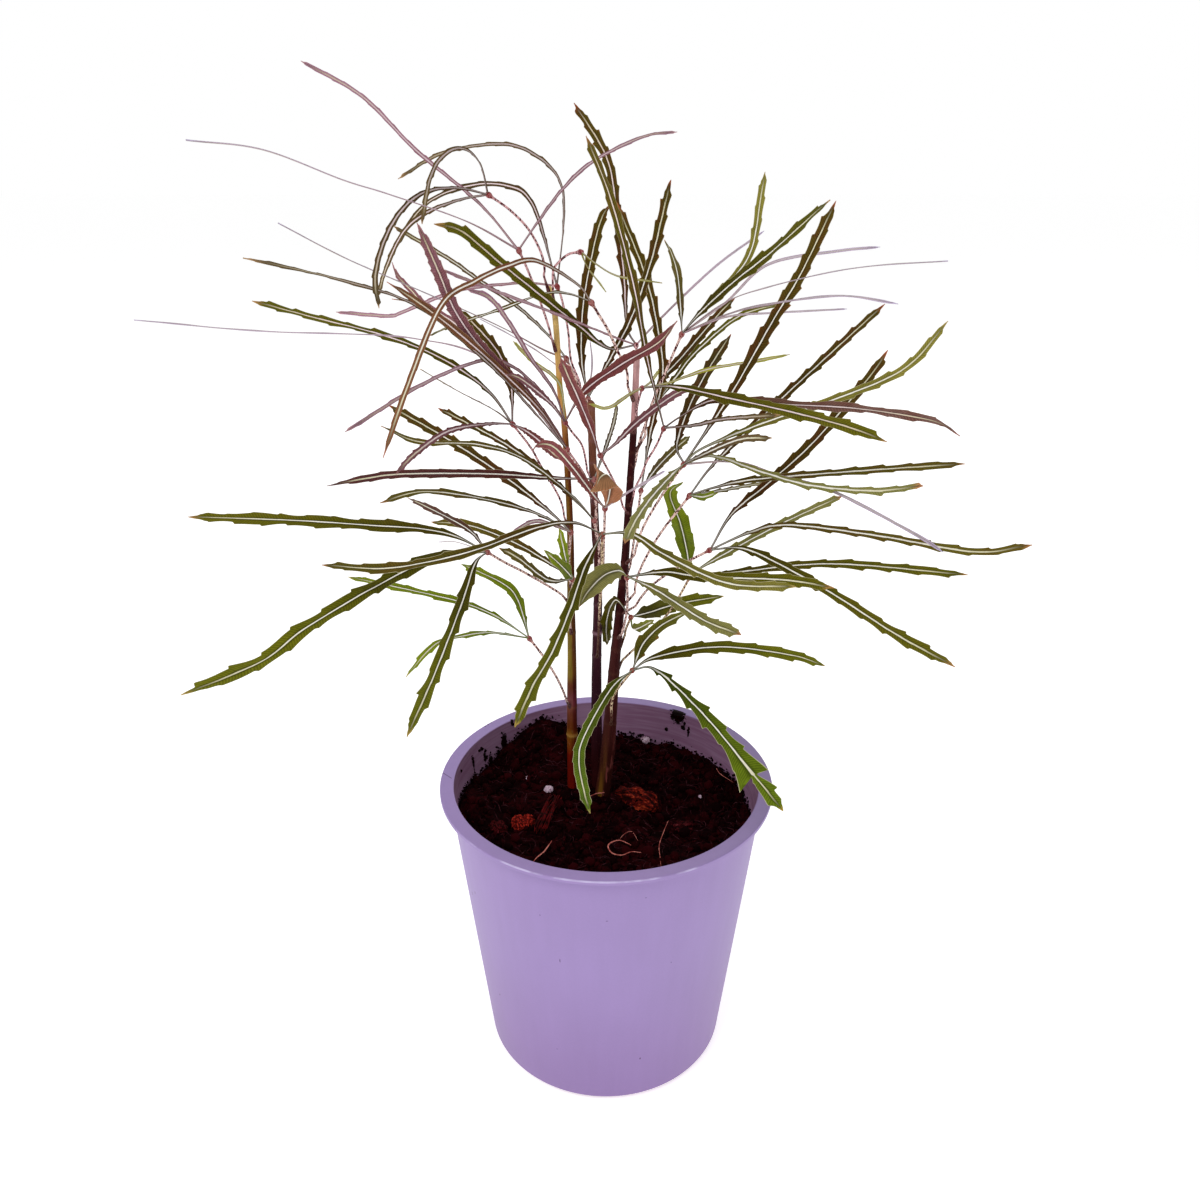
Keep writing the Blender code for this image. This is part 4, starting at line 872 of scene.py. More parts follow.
# %% Colours and edges of each kind of leaflet
# Each look: colour near the root, farther out and at the very tip, the share of its kind's full
# width that the blade has between its teeth, a tooth's depth in mm, the factor on the teeth's
# pitch, and how bronzed it is
LOOKS = {
    "lobed": ((0.036, 0.044, 0.003), (0.120, 0.172, 0.009), (0.50, 0.34, 0.05), 0.50, 1.5, 1.4, 0.0),
    "broad": ((0.060, 0.052, 0.006), (0.120, 0.120, 0.014), (0.48, 0.24, 0.09), 0.78, 1.1, 1.4, 0.1),
    "old": ((0.044, 0.036, 0.002), (0.125, 0.130, 0.006), (0.50, 0.34, 0.08), 0.78, 1.0, 1.6, 0.05),
    "leafy": ((0.046, 0.050, 0.003), (0.085, 0.135, 0.010), (0.50, 0.40, 0.12), 0.72, 0.5, 0.8, 0.0),
    "green": ((0.042, 0.032, 0.002), (0.098, 0.092, 0.005), (0.48, 0.25, 0.08), 0.74, 0.8, 1.3, 0.1),
    "rust": ((0.046, 0.020, 0.003), (0.072, 0.048, 0.005), (0.52, 0.14, 0.05), 0.68, 0.9, 1.0, 0.5),
    "olive": ((0.052, 0.032, 0.004), (0.105, 0.086, 0.010), (0.48, 0.22, 0.08), 0.68, 0.6, 1.25, 0.3),
    "plum": ((0.062, 0.017, 0.014), (0.078, 0.026, 0.026), (0.30, 0.16, 0.16), 0.62, 0.3, 0.9, 0.2),
    "rose": ((0.130, 0.040, 0.045), (0.215, 0.090, 0.110), (0.46, 0.22, 0.22), 0.72, 0.45, 0.6, 0.35),
    "tawny": ((0.110, 0.040, 0.018), (0.185, 0.080, 0.036), (0.60, 0.22, 0.14), 0.50, 0.15, 0.9, 0.3),
    "dusk": ((0.052, 0.024, 0.005), (0.150, 0.075, 0.062), (0.48, 0.22, 0.18), 0.66, 0.6, 1.1, 0.4),
    "moss": ((0.085, 0.075, 0.010), (0.185, 0.165, 0.030), (0.50, 0.36, 0.12), 0.74, 0.7, 1.3, 0.05),
    "red": ((0.145, 0.028, 0.026), (0.205, 0.058, 0.062), (0.42, 0.16, 0.14), 0.80, 0.4, 0.6, 0.35),
    "mauve": ((0.220, 0.080, 0.110), (0.320, 0.165, 0.225), (0.50, 0.28, 0.30), 0.42, 0.25, 1.1, 0.25),
    "thin": ((0.330, 0.200, 0.240), (0.450, 0.360, 0.480), (0.58, 0.50, 0.70), 0.34, 0.05, 1.0, 0.1),
    "young": ((0.230, 0.210, 0.022), (0.320, 0.310, 0.050), (0.52, 0.42, 0.20), 0.42, 0.20, 1.0, 0.0),
    "bright": ((0.100, 0.135, 0.005), (0.190, 0.240, 0.010), (0.55, 0.46, 0.16), 0.78, 0.7, 1.3, 0.0),
    "sage": ((0.170, 0.162, 0.042), (0.235, 0.225, 0.066), (0.50, 0.22, 0.10), 0.62, 0.8, 1.2, 0.1),
    "arch": ((0.062, 0.036, 0.012), (0.105, 0.070, 0.026), (0.50, 0.30, 0.14), 0.42, 0.35, 0.9, 0.2),
    "hood": ((0.420, 0.170, 0.080), (0.420, 0.170, 0.080), (0.50, 0.20, 0.10), 1.60, 0.6, 0.9, 0.2),
}
# Looks whose leaflets run out in a slender tail, and how many times longer it is, or end bluntly
TAILS = {"plum": 2.2, "rose": 1.5, "tawny": 1.8, "dusk": 1.5, "sage": 0.6, "lobed": 0.55, "hood": 0.15}
# Looks that reach their full width sooner or later than their kind, as a factor on its length
WIDENS = {"lobed": 0.68, "old": 0.8, "broad": 0.8, "leafy": 0.85, "green": 0.92, "hood": 0.9}
print("looks:", list(LOOKS))

# %% Leaflets with a look or a turn of their own
# Leaflets that differ from their kind, by leaf and number: their look and a factor on the width
OWN_LOOKS = {
    "leaf_left_crown": {1: ("thin", 0.7)},
    "leaf_left_top": {0: ("arch", 0.9), 1: ("arch", 1.1), 2: ("arch", 1.3)},
    "leaf_left_high": {0: ("rose", 0.7), 2: ("green", 0.7), 3: ("arch", 0.5), 4: ("red", 0.6)},
    "leaf_left_mid": {0: ("rust", 1.1)},
    "leaf_left_inner": {0: ("olive", 1.4), 1: ("bright", 1.2), 3: ("bright", 1.3)},
    "leaf_left_low": {0: ("green", 1.35), 1: ("old", 1.1), 2: ("old", 0.9), 3: ("dusk", 1.3),
                      4: ("thin", 0.5)},
    "leaf_left_lowest": {0: ("bright", 1.1), 1: ("bright", 0.8), 2: ("bright", 1.1)},
    "leaf_middle_crown": {0: ("arch", 0.9), 1: ("arch", 0.95)},
    "leaf_middle_high": {0: ("arch", 0.8)},
    "leaf_middle_back": {1: ("rust", 1.3)},
    "leaf_middle_young": {0: ("red", 1.1), 3: ("mauve", 0.8), 4: ("rose", 0.6)},
    "leaf_middle_main": {0: ("rose", 1.5), 1: ("tawny", 1.05), 2: ("tawny", 1.1),
                         4: ("arch", 0.8), 5: ("rose", 0.95)},
    "leaf_middle_side": {0: ("plum", 1.0), 1: ("arch", 1.05)},
    "leaf_middle_fan": {0: ("rust", 0.75), 1: ("olive", 0.85)},
    "leaf_middle_red": {1: ("rose", 0.85)},
    "leaf_middle_curl": {0: ("red", 0.92), 1: ("hood", 1.1)},
    "leaf_middle_low": {0: ("old", 0.78), 1: ("olive", 1.35), 2: ("moss", 0.82)},
    "leaf_right_crown": {0: ("tawny", 0.75), 1: ("olive", 0.75)},
    "leaf_right_top": {1: ("mauve", 0.8), 3: ("green", 1.35)},
    "leaf_right_bud": {0: ("young", 1.2), 3: ("green", 1.1)},
    "leaf_right_high": {1: ("moss", 0.82), 2: ("thin", 1.2), 3: ("thin", 0.45), 4: ("thin", 0.6),
                        5: ("thin", 0.6), 6: ("olive", 1.4)},
    "leaf_right_back": {0: ("rust", 1.15), 1: ("green", 0.65)},
    "leaf_right_main": {0: ("arch", 1.0), 1: ("dusk", 1.25), 2: ("olive", 1.15)},
    "leaf_right_tall": {0: ("rust", 0.95), 1: ("olive", 1.3)},
    "leaf_right_fan": {0: ("rust", 1.35), 1: ("sage", 0.8), 2: ("rust", 1.35), 3: ("moss", 1.0),
                       4: ("arch", 1.0), 5: ("sage", 0.75), 6: ("thin", 0.9)},
    "leaf_right_side": {1: ("olive", 0.75), 2: ("olive", 0.5), 3: ("bright", 1.0)},
    "leaf_right_low": {0: ("rust", 1.3), 1: ("olive", 0.8), 2: ("green", 0.9)},
    "leaf_right_lower": {0: ("bright", 1.4), 1: ("sage", 0.85), 2: ("green", 0.85)},
    "leaf_right_front": {0: ("green", 0.95), 1: ("sage", 1.2), 2: ("sage", 1.8)},
    "leaf_right_inner": {0: ("old", 1.35), 1: ("bright", 0.9), 2: ("green", 1.2)},
    "leaf_right_lowest": {0: ("leafy", 0.95), 3: ("broad", 0.9)},
}
# Leaflets that are turned about their length otherwise than their kind, in degrees
OWN_ROLLS = {
    "leaf_left_crown": {2: 0},
    "leaf_left_inner": {0: -5, 1: -30, 2: -35},
    "leaf_middle_back": {0: 45},
    "leaf_middle_red": {1: 15},
    "leaf_middle_curl": {0: -70, 1: 30},
    "leaf_right_top": {3: -60},
    "leaf_right_bud": {3: 0},
    "leaf_right_high": {0: 45},
    "leaf_right_back": {0: 10},
    "leaf_right_main": {0: 50},
    "leaf_right_fan": {4: 60, 6: 10},
    "leaf_right_side": {3: 60},
    "leaf_right_lower": {0: -5},
    "leaf_right_inner": {1: -60, 2: -60},
}
print("leaflets with a look of their own:", sum(map(len, OWN_LOOKS.values())))

# %% How a leaflet lies in space
# How strongly a leaf's upper side turns to the eye's side, to the sky and away from the stem
TO_EYE, TO_SKY, TO_OUTSIDE = 0.75, 0.55, 0.25
# How quickly a blade that is twisted comes back to face that way, from one step to the next
COMES_BACK = 0.6


def facing(hub, stem_middle):
    """Which way the leaf's upper side looks: up, outwards and a little to the eye's side."""
    outwards = Vector((hub.x - stem_middle.x, hub.y - stem_middle.y, 0))
    if outwards.length > 1e-6:
        outwards.normalize()
    to_eye = (EYE - hub).normalized()
    return (to_eye * TO_EYE + Vector((0, 0, TO_SKY)) + outwards * TO_OUTSIDE).normalized()


def blade_frames(line, looks, roll, count):
    """Sideways and upward directions at even steps along a line."""
    places = evenly(line, count)
    frames = []
    up = None
    for k in range(count):
        ahead = (places[min(k + 1, count - 1)] - places[max(k - 1, 0)]).normalized()
        wish = looks - ahead * looks.dot(ahead)
        if up is None:
            up = wish if wish.length > 0.2 else ahead.orthogonal()
        up = up - ahead * up.dot(ahead)
        up = (up.normalized() + wish * COMES_BACK).normalized()
        turned = up * math.cos(roll) + ahead.cross(up) * math.sin(roll)
        frames.append((turned.cross(ahead).normalized(), turned))
    return frames


def frame_at(frames, share):
    """Side and up at any share of the length."""
    at = min(max(share, 0), 1) * (len(frames) - 1)
    k = min(int(at), len(frames) - 2)
    (side, up), (side2, up2) = frames[k], frames[k + 1]
    return side.lerp(side2, at - k).normalized(), up.lerp(up2, at - k).normalized()


# %% How a blade rises, swells, breaks into lobes and closes
LOBE_FROM = 0.60
NOTCH_AT = 0.80


def eased(value):
    """From 0 to 1 with soft ends."""
    value = min(max(value, 0), 1)
    return value * value * (3 - 2 * value)


def swell(away, reach, rise=1.0):
    """A soft bump of this rise, which fades within its reach on both sides."""
    return rise * math.exp(-(away / reach) ** 2)


def lobed_at(share):
    """How far the big lobes stand out: a slow rise to the notch, and a sudden end."""
    return ((share - LOBE_FROM) / (NOTCH_AT - LOBE_FROM)) ** 2.2 if LOBE_FROM < share < NOTCH_AT else 0.0


def closing(left, body):
    """How a strap ends, at this distance from its tip: it narrows, steps in, and runs out in a point."""
    far = left / body
    return 0.40 * min(1, far / 2.2) ** 0.7 + 0.35 * eased((far - 2.0) / 1.2) + 0.25 * eased((far - 3) / 8)


print("a blade 3 mm to each side, at 1, 5 and 20 mm from its tip, is",
      [round(3 * closing(left, 3), 1) for left in (1, 5, 20)], "mm to each side")

# %% The guide of one leaflet
BLADE_STEPS = 24
RING_STEP = 0.6 * MM
STALKLET = 0.33 * MM
STALKLET_REACH = 1.5 * MM
BLADE_HALF_THICK = 0.17 * MM
THINNEST_BLADE = 0.12 * MM
NOTCH_REACH, NOTCH_DEPTH = 0.045, 0.6
LOBE_REACH = {"lobe_right": 2.2 * MM, "lobe_left": 4.6 * MM}


def add_leaflet(guide, kind, line, looks, own, draw):
    """One leaflet's guide line, with the width, teeth and colour of its look."""
    look, wide, roll, number = own
    width, _, widening = KINDS[kind]
    root_colour, out_colour, tip_colour, full, bite, coarse, bronze = LOOKS[look]
    frames = blade_frames(line, looks, math.radians(roll), BLADE_STEPS)
    length = length_of(line)
    count = max(12, round(length / RING_STEP))
    shade = draw.uniform(0.85, 1.2)
    tip_from = draw.uniform(0.945, 0.975)
    body = width * MM / 2 * full * wide
    rows = []
    for k, spot in enumerate(evenly(line, count)):
        share = k / (count - 1)
        side, up = frame_at(frames, share)
        opened = eased((share * length - STALKLET_REACH) / (widening * length * WIDENS.get(look, 1.05)))
        half = STALKLET + (body - STALKLET) * opened
        half *= closing((1 - share) * length, body * TAILS.get(look, 1))
        lobes = lobed_at(share) if kind == "lobed" else 0.0
        if kind == "lobed" and share >= NOTCH_AT:
            half *= 1 - swell(share - NOTCH_AT, NOTCH_REACH, NOTCH_DEPTH)
        toothed = eased((share - 0.10) / 0.08) * min(1, (1 - share) * length / (2.5 * body))
        tint = Vector(root_colour).lerp(Vector(out_colour), eased(share / 0.9)) * shade
        rows.append((spot, {
            "spot": spot, "side": side, "up": up, "reach": share * length, "share": share,
            "half": max(half, THINNEST_BLADE), "bite": bite * MM * toothed * (1 - lobes), "coarse": coarse,
            **{name: lobes * far for name, far in LOBE_REACH.items()},
            "thick": STALKLET + (BLADE_HALF_THICK - STALKLET) * min(opened * 3, 1),
            "number": float(number), "stalk": 0.0, "bronze": bronze, "dark": 0.0,
            "tint": tint.lerp(Vector(tip_colour), eased((share - tip_from) / (1 - tip_from))),
        }))
    guide.add_line(rows)


# %% The guide of one stalk
# A stalk's half thickness, on young leaves and on the others
SLIM_STALK = 0.36 * MM
STALK_HALF = 0.43 * MM
# The reach and the rise of the stalk's clasp round the stem, and of its bead
CLASP = (2.2 * MM, 0.30 * MM)
BEAD = (0.85 * MM, 0.60 * MM)
# How far the bead's middle lies before the stalk's last point, and how far its end goes on
BEAD_BACK = 0.3 * MM
END_REACH = 0.8 * MM
END_HALF = 0.5 * MM
STALK_TINT = Vector((0.4, 0.25, 0.2))


def add_stalk(guide, line, looks, slim, dark_foot):
    """The stalk's guide line: it clasps the stem, dark as bark there, and ends in a bead."""
    frames = blade_frames(line, looks, 0, BLADE_STEPS)
    length = length_of(line)
    count = max(10, round(length / RING_STEP))
    rows = []
    for k, spot in enumerate(evenly(line, count)):
        walked = length * k / (count - 1)
        side, up = frame_at(frames, k / (count - 1))
        swollen = swell(walked, *CLASP) + swell(length - walked - BEAD_BACK, *BEAD)
        dark = 1 - eased((walked - dark_foot * 0.7) / (dark_foot * 0.6))
        rows.append((spot, {
            "spot": spot, "side": side, "up": up, "reach": walked, "share": walked / length,
            "half": (SLIM_STALK if slim else STALK_HALF) + swollen, "bite": 0.0, "coarse": 1.0,
            "lobe_right": 0.0, "lobe_left": 0.0, "thick": 0.0, "number": 0.0, "stalk": 1.0,
            "bronze": 0.0, "tint": STALK_TINT, "dark": dark,
        }))
    end = line[-1] + (line[-1] - line[-2]).normalized() * END_REACH
    rows.append((end, {**rows[-1][1], "spot": end, "half": END_HALF}))
    guide.add_line(rows)


# %% [markdown]
# ## The leaf's finish
#
# A false aralia's leaflet is leathery and a little glossy. The rib is nearly white, the blade is
# painted darker beside it as shade in the fold along the rib, the edge has a hair-thin pale line,
# fine side veins run forward from the rib, and the underside is paler and duller. The stalk is
# cream or pink with dark purple flecks. All of it follows the leaflet, so it is painted by the
# values that the tree has stored, with noise in Object coordinates for what is irregular. One
# function makes the three finishes, young to old.

# %% Tools for every finish
# Scales of noise, for grains of about 2 mm and of 0.7 mm
GRAIN, FINE = 520, 1500


def new_paint(name):
    """A material, its tree and the Object coordinates."""
    paint = bpy.data.materials.new(name)
    paint.use_nodes = True
    tree = Tree(paint.node_tree)
    return paint, tree, tree.node("ShaderNodeTexCoord", {}, {}, "Object")


def finished(paint, tree, colour, rough, gloss, height=None, strength=0.0, depth=0.0):
    """The material with its colour, roughness and gloss; its bump has a strength and a depth in mm."""
    sockets = paint.node_tree.nodes["Principled BSDF"].inputs
    tree.feed(sockets["Base Color"], colour)
    tree.feed(sockets["Roughness"], rough)
    sockets["Specular IOR Level"].default_value = gloss
    if height is not None:
        bump = {"Strength": strength, "Distance": depth * MM, "Height": height}
        tree.feed(sockets["Normal"], tree.node("ShaderNodeBump", {}, bump))
    print(paint.name, "has", len(tree.made.nodes), "nodes")
    return paint


def painted_by(tree, name, output="Fac"):
    """A value that the mesh carries."""
    return tree.node("ShaderNodeAttribute", {"attribute_name": name}, {}, output)


# %% The leaf paint
CREAM = (0.98, 0.95, 0.86)
LATE_RIB = (0.56, 0.50, 0.16)
FLECK = (0.060, 0.006, 0.010)
BRONZE = (0.082, 0.020, 0.008)
TOOTH_TIP = (0.36, 0.100, 0.030)
UNDERSIDE = (0.20, 0.15, 0.07)
EDGE = (0.66, 0.60, 0.38)
BEAD_RED = (0.24, 0.040, 0.040)
STALK_FOOT = (0.062, 0.012, 0.011)


def leaf_paint(name, rib_colour, stalk_colour, edging, dullness):
    """The finish of a leaf: its ribs' and stalks' colours, how clear its edge is, and how dull it is."""
    paint, tree, place = new_paint(name)
    across = abs(painted_by(tree, "across"))
    reach = painted_by(tree, "reach")
    upper = painted_by(tree, "upper")
    share = painted_by(tree, "share")
    cloud = tree.noise(place, 160, 3)
    grain = tree.noise(place, GRAIN, 3, 0.6)
    fine = tree.noise(place, FINE, 2)

    # The blade: its own tint, clouded, bronzed in the middle parts, darker between the veins
    blade = painted_by(tree, "tint", "Vector") * (0.46 + 0.76 * cloud + 0.44 * grain)
    blade = tree.mix(cloud.between(0.42, 0.62) * painted_by(tree, "bronze"), blade, BRONZE)
    veins = ((reach / MM * 2.1 - across * 3.2 + grain * 1.6) * math.pi).sine()
    blade = blade * (1 + veins * 0.22 * across.between(0.1, 0.3)) * (0.82 + 0.36 * fine)
    # Painted shade: the blade is darker next to the rib, where the two halves fold up from it
    blade = blade * (0.42 + 0.58 * across.between(0.08, 0.40))
    ripe = painted_by(tree, "tooth").between(0.50 * MM, 0.80 * MM)
    ripe = ripe * painted_by(tree, "bronze").between(0.04, 0.16)
    blade = tree.mix(ripe * 0.7, blade, TOOTH_TIP)
    under = upper.between(-0.05, -0.25)
    blade = tree.mix(under * 0.4, blade, UNDERSIDE)

    # The rib, yellower towards the tip, and the thin line along the edge
    half = painted_by(tree, "half")
    rib = (across * half).between(0.22 * MM, 0.13 * MM) * share.between(1.0, 0.86)
    rib = rib * (0.35 + 0.65 * half.between(0.4 * MM, 0.9 * MM))
    rib_tone = tree.mix(share.between(0.55, 0.95) * 0.6, rib_colour, LATE_RIB)
    edge = ((1 - across) * half).between(0.16 * MM, 0.05 * MM) * share.between(0.06, 0.20)
    edge = edge * upper.between(-0.3, 0) * half.between(0.7 * MM, 1.3 * MM)
    blade = tree.mix(rib * (0.80 + 0.20 * fine), blade, rib_tone)
    blade = tree.mix(edge * (0.35 + 1.1 * grain).least(1.0) * edging, blade, EDGE)

    # The stalk: pale, with dark flecks drawn out along it, and a red bead at its end
    mottle = tree.noise(place * (1, 1, 0.5), 1700, 2, 0.6)
    bark = tree.mix(mottle.between(0.50, 0.55), stalk_colour, FLECK)
    bark = tree.mix(share.between(0.93, 0.985) * 0.8, bark, BEAD_RED)
    bark = tree.mix(painted_by(tree, "dark") * 0.9, bark, STALK_FOOT)
    colour = tree.mix(painted_by(tree, "stalk"), blade, bark)

    rough = (dullness + 0.14 * fine + under * 0.2).least(0.8)
    height = veins * 0.5 * across.between(0.1, 0.3) + grain * 0.8 + fine * 0.4
    return finished(paint, tree, colour, rough, gloss=0.025, height=height, strength=0.4, depth=0.08)


leaf_paints = {
    "leaf_young": leaf_paint("young leaf", (0.90, 0.74, 0.75), (0.66, 0.37, 0.38),
                             edging=0.30, dullness=0.42),
    "leaf_grown": leaf_paint("grown leaf", CREAM, (0.80, 0.56, 0.50), edging=0.50, dullness=0.40),
    "leaf_old": leaf_paint("old leaf", CREAM, (0.74, 0.56, 0.36), edging=0.80, dullness=0.42),
}

# %% [markdown]
# ## The leaves themselves
#
# Each of the 32 leaves grew as one piece, so each becomes one mesh, from a guide line for its
# stalk and one for each leaflet. They could be modelled by hand, but a rule gives them all the
# same care.

# %% One leaf after the other
YOUNG_KINDS = ("mauve", "thin", "young", "red")
OLD_KINDS = ("old", "broad", "lobed")
# The angle from which an edge of a leaf looks sharp
LEAF_CREASE = math.radians(62)
# How far up a stalk its foot is as dark as the bark: a little, but more where it lies on the stem
DARK_FOOT = 4 * MM
DARK_FEET = {"leaf_middle_low": 28 * MM, "leaf_right_lowest": 9 * MM}
pieces = []


def keep(piece, slot, *solids):
    """Note a finished piece, the slot of its finish, and the solids that it stands for."""
    pieces.append((piece, slot, solids))
    print(piece.name, "has", len(piece.data.polygons), "faces")


def leaf_slot(kind):
    """A leaf takes its finish from the kind of its first leaflet."""
    if kind in YOUNG_KINDS:
        return "leaf_young"
    return "leaf_old" if kind in OLD_KINDS else "leaf_grown"


for seed, (name, (stem, foot, pixels, hub, depth, leaflets)) in enumerate(LEAVES.items()):
    solid = skin_of(name)
    slot = leaf_slot(leaflets[0][0])
    middle = stem_joint(stem, hub, stem_lines[stem])[0]
    looks = facing(in_space(hub, depth * MM), middle)
    guide = Guide()
    stalk = fitted_stalk(solid, stem, foot, pixels, hub, depth * MM)
    add_stalk(guide, stalk, looks, slot == "leaf_young", DARK_FEET.get(name, DARK_FOOT))
    for number, (kind, reach, points) in enumerate(leaflets):
        line = fitted_leaflet(solid, [hub, *points], depth * MM, reach * MM)
        look, wide = OWN_LOOKS.get(name, {}).get(number, (kind, 1.0))
        roll = OWN_ROLLS.get(name, {}).get(number, KINDS[kind][1])
        own = (look, wide, roll, number + 1)
        add_leaflet(guide, kind, line, looks, own, random.Random(f"{name} {number}"))
    thing = grown(name + "_fine", guide.mesh(name), leaf_tree, leaf_paints[slot], seed)
    thing.data.set_sharp_from_angle(angle=LEAF_CREASE)
    keep(thing, slot, name)

# %% [markdown]
# ## Stems
#
# The three stems differ. The left one is straw above, golden lower down and red at its foot,
# the middle one is nearly black purple, and the right one, the oldest, is black red with a
# fibrous foot, where a golden band and thin red strands show. Each leaf leaves a slight ring
# where its stalk clasps the stem. A swept ring with ridges along its length gives the bark,
# and the guide's points say how strong the ridges are.

# %% The stem tree
STEM_SIDES = 28
stem_tree, size = new_growth("stem growth", {"Ridge": 0.16, "Ridges round": 2.6, "Ridge length": 22 * MM})
skin = swept(stem_tree, size["Geometry"], STEM_SIDES)
turn = attribute(stem_tree, "turn")
cosine = turn.cosine()
around = stem_tree.node("ShaderNodeCombineXYZ", {}, {
    "X": cosine * size["Ridges round"], "Y": turn.sine() * size["Ridges round"],
    "Z": attribute(stem_tree, "reach") / size["Ridge length"] + size["Seed"]})
ridge = stem_tree.noise(around, 1.0, 3) - 0.5
radius = attribute(stem_tree, "half") * (1 + ridge * size["Ridge"] * attribute(stem_tree, "rough") * 2)
skin = stored(stem_tree, set_round(stem_tree, skin, radius), "ridge", ridge)
harvest(stem_tree, stored(stem_tree, skin, "left", cosine), size["Material"])

# %% The stem's finish
BLOTCH = (0.030, 0.006, 0.008)
PALE_DOT = (0.30, 0.14, 0.10)
GOLD_BAND = (0.190, 0.085, 0.008)
DEEP_BARK = (0.016, 0.002, 0.002)
RED_STRAND = (0.30, 0.075, 0.065)
# Bark: the tint along the stem, streaks and small pale dots, a paler ring at each leaf
paint, tree, place = new_paint("stem bark")
streak = tree.noise(place * (1, 1, 0.12), 900, 3)
strand = tree.noise(place * (1, 1, 0.05), 420, 2)
dots = tree.noise(place * (1, 1, 0.55), 800, 1)
rough = painted_by(tree, "rough")
fibrous = rough.between(1.1, 2.2)
left = painted_by(tree, "left")
colour = painted_by(tree, "tint", "Vector") * (0.45 + 1.1 * streak)
# Painted shade, together with the bark's own redder tone: the right side, away from the key lamp, is darkened
shaded = (left + (strand - 0.5) * 1.2).between(0.25, -0.35) * painted_by(tree, "shade")
colour = tree.mix(shaded, colour, colour * (0.50, 0.16, 0.30))
dark = tree.noise(place * (1, 1, 0.35), 260, 2).between(0.54, 0.62)
colour = tree.mix(dark * painted_by(tree, "mottle"), colour, BLOTCH)
colour = tree.mix(dots.between(0.66, 0.74) * 0.14, colour, PALE_DOT)
gold = left.between(-0.15, 0.2) * left.between(0.95, 0.6) * strand.between(0.36, 0.52)
colour = tree.mix(gold * fibrous * 0.85, colour, GOLD_BAND)
# Partly painted shade: the right side of the fibrous foot is darkened further
colour = tree.mix(left.between(0.1, -0.2) * fibrous * 0.7, colour, DEEP_BARK)
red_strand = streak.between(0.58, 0.64) * left.between(0.3, 0.0) * fibrous
colour = tree.mix(red_strand, colour, RED_STRAND)
colour = tree.mix(painted_by(tree, "ring"), colour, painted_by(tree, "ring_tint", "Vector"))
height = streak * rough + painted_by(tree, "ridge")
dull = (0.40 + 0.12 * rough + 0.15 * streak).least(0.85)
bark_paint = finished(paint, tree, colour, dull, gloss=0.06, height=height, strength=0.5, depth=0.15)

# %% Where the bark changes along each stem
# Colours from foot to top, how strongly dark blotches show, how fibrous the foot is, how strongly
# the right side is darkened (painted shade together with the bark's own redder tone), the colour of
# the rings, and how much slimmer than its solid the top has grown
BARKS = {
    "stem_left": ([(0.0, (0.13, 0.004, 0.001)), (0.155, (0.14, 0.006, 0.001)), (0.18, (0.17, 0.040, 0.003)),
                   (0.20, (0.18, 0.070, 0.005)), (0.215, (0.125, 0.028, 0.003)), (0.24, (0.14, 0.034, 0.014)),
                   (0.268, (0.21, 0.062, 0.065)), (0.30, (0.12, 0.032, 0.013)), (0.33, (0.21, 0.140, 0.018)),
                   (0.39, (0.19, 0.125, 0.018)), (0.50, (0.13, 0.070, 0.010)), (0.655, (0.17, 0.075, 0.009)),
                   (0.745, (0.21, 0.070, 0.014)), (0.82, (0.48, 0.24, 0.07)),
                   (1.0, (0.70, 0.50, 0.18))], 0.35, 0.3, 0.85, (0.38, 0.20, 0.045), 0.68),
    "stem_middle": ([(0.0, (0.045, 0.004, 0.002)), (0.17, (0.026, 0.003, 0.004)),
                     (0.3, (0.030, 0.006, 0.013)), (0.5, (0.050, 0.012, 0.020)),
                     (0.73, (0.060, 0.012, 0.010)), (0.86, (0.16, 0.055, 0.030)),
                     (1.0, (0.18, 0.070, 0.040))], 0.5, 0.4, 0.3, (0.36, 0.20, 0.25), 0.80),
    "stem_right": ([(0.0, (0.050, 0.010, 0.004)), (0.32, (0.058, 0.012, 0.010)),
                    (0.55, (0.038, 0.004, 0.005)), (0.85, (0.030, 0.003, 0.004)),
                    (0.88, (0.46, 0.23, 0.23)), (1.0, (0.52, 0.30, 0.30))],
                   0.4, 2.6, 0.5, (0.14, 0.06, 0.03), 0.66),
}
# Old rings that no leaf stands on any more: picture places
SCARS = {"stem_left": [(571.5, 734)], "stem_middle": [(597, 632)], "stem_right": []}
print("stops of colour:", {name: len(bark[0]) for name, bark in BARKS.items()})

# %% One stem after the other, thickened where its leaves join it
STEM_RING_STEP = 0.55 * MM
FINE_STEM_STEPS = 10
# How pale a ring is under a leaf and where one has fallen, how wide it is, and how far the rough
# bark of the foot reaches up
LEAF_RING, OLD_RING = 0.14, 0.75
RING_REACH = 0.6 * MM
ROUGH_REACH = 42 * MM


def blended(stops, share):
    """The colour at this share of a row of stops."""
    for (low, first), (high, second) in zip(stops, stops[1:]):
        if share <= high:
            return Vector(first).lerp(Vector(second), eased((share - low) / (high - low)))
    return Vector(stops[-1][1])


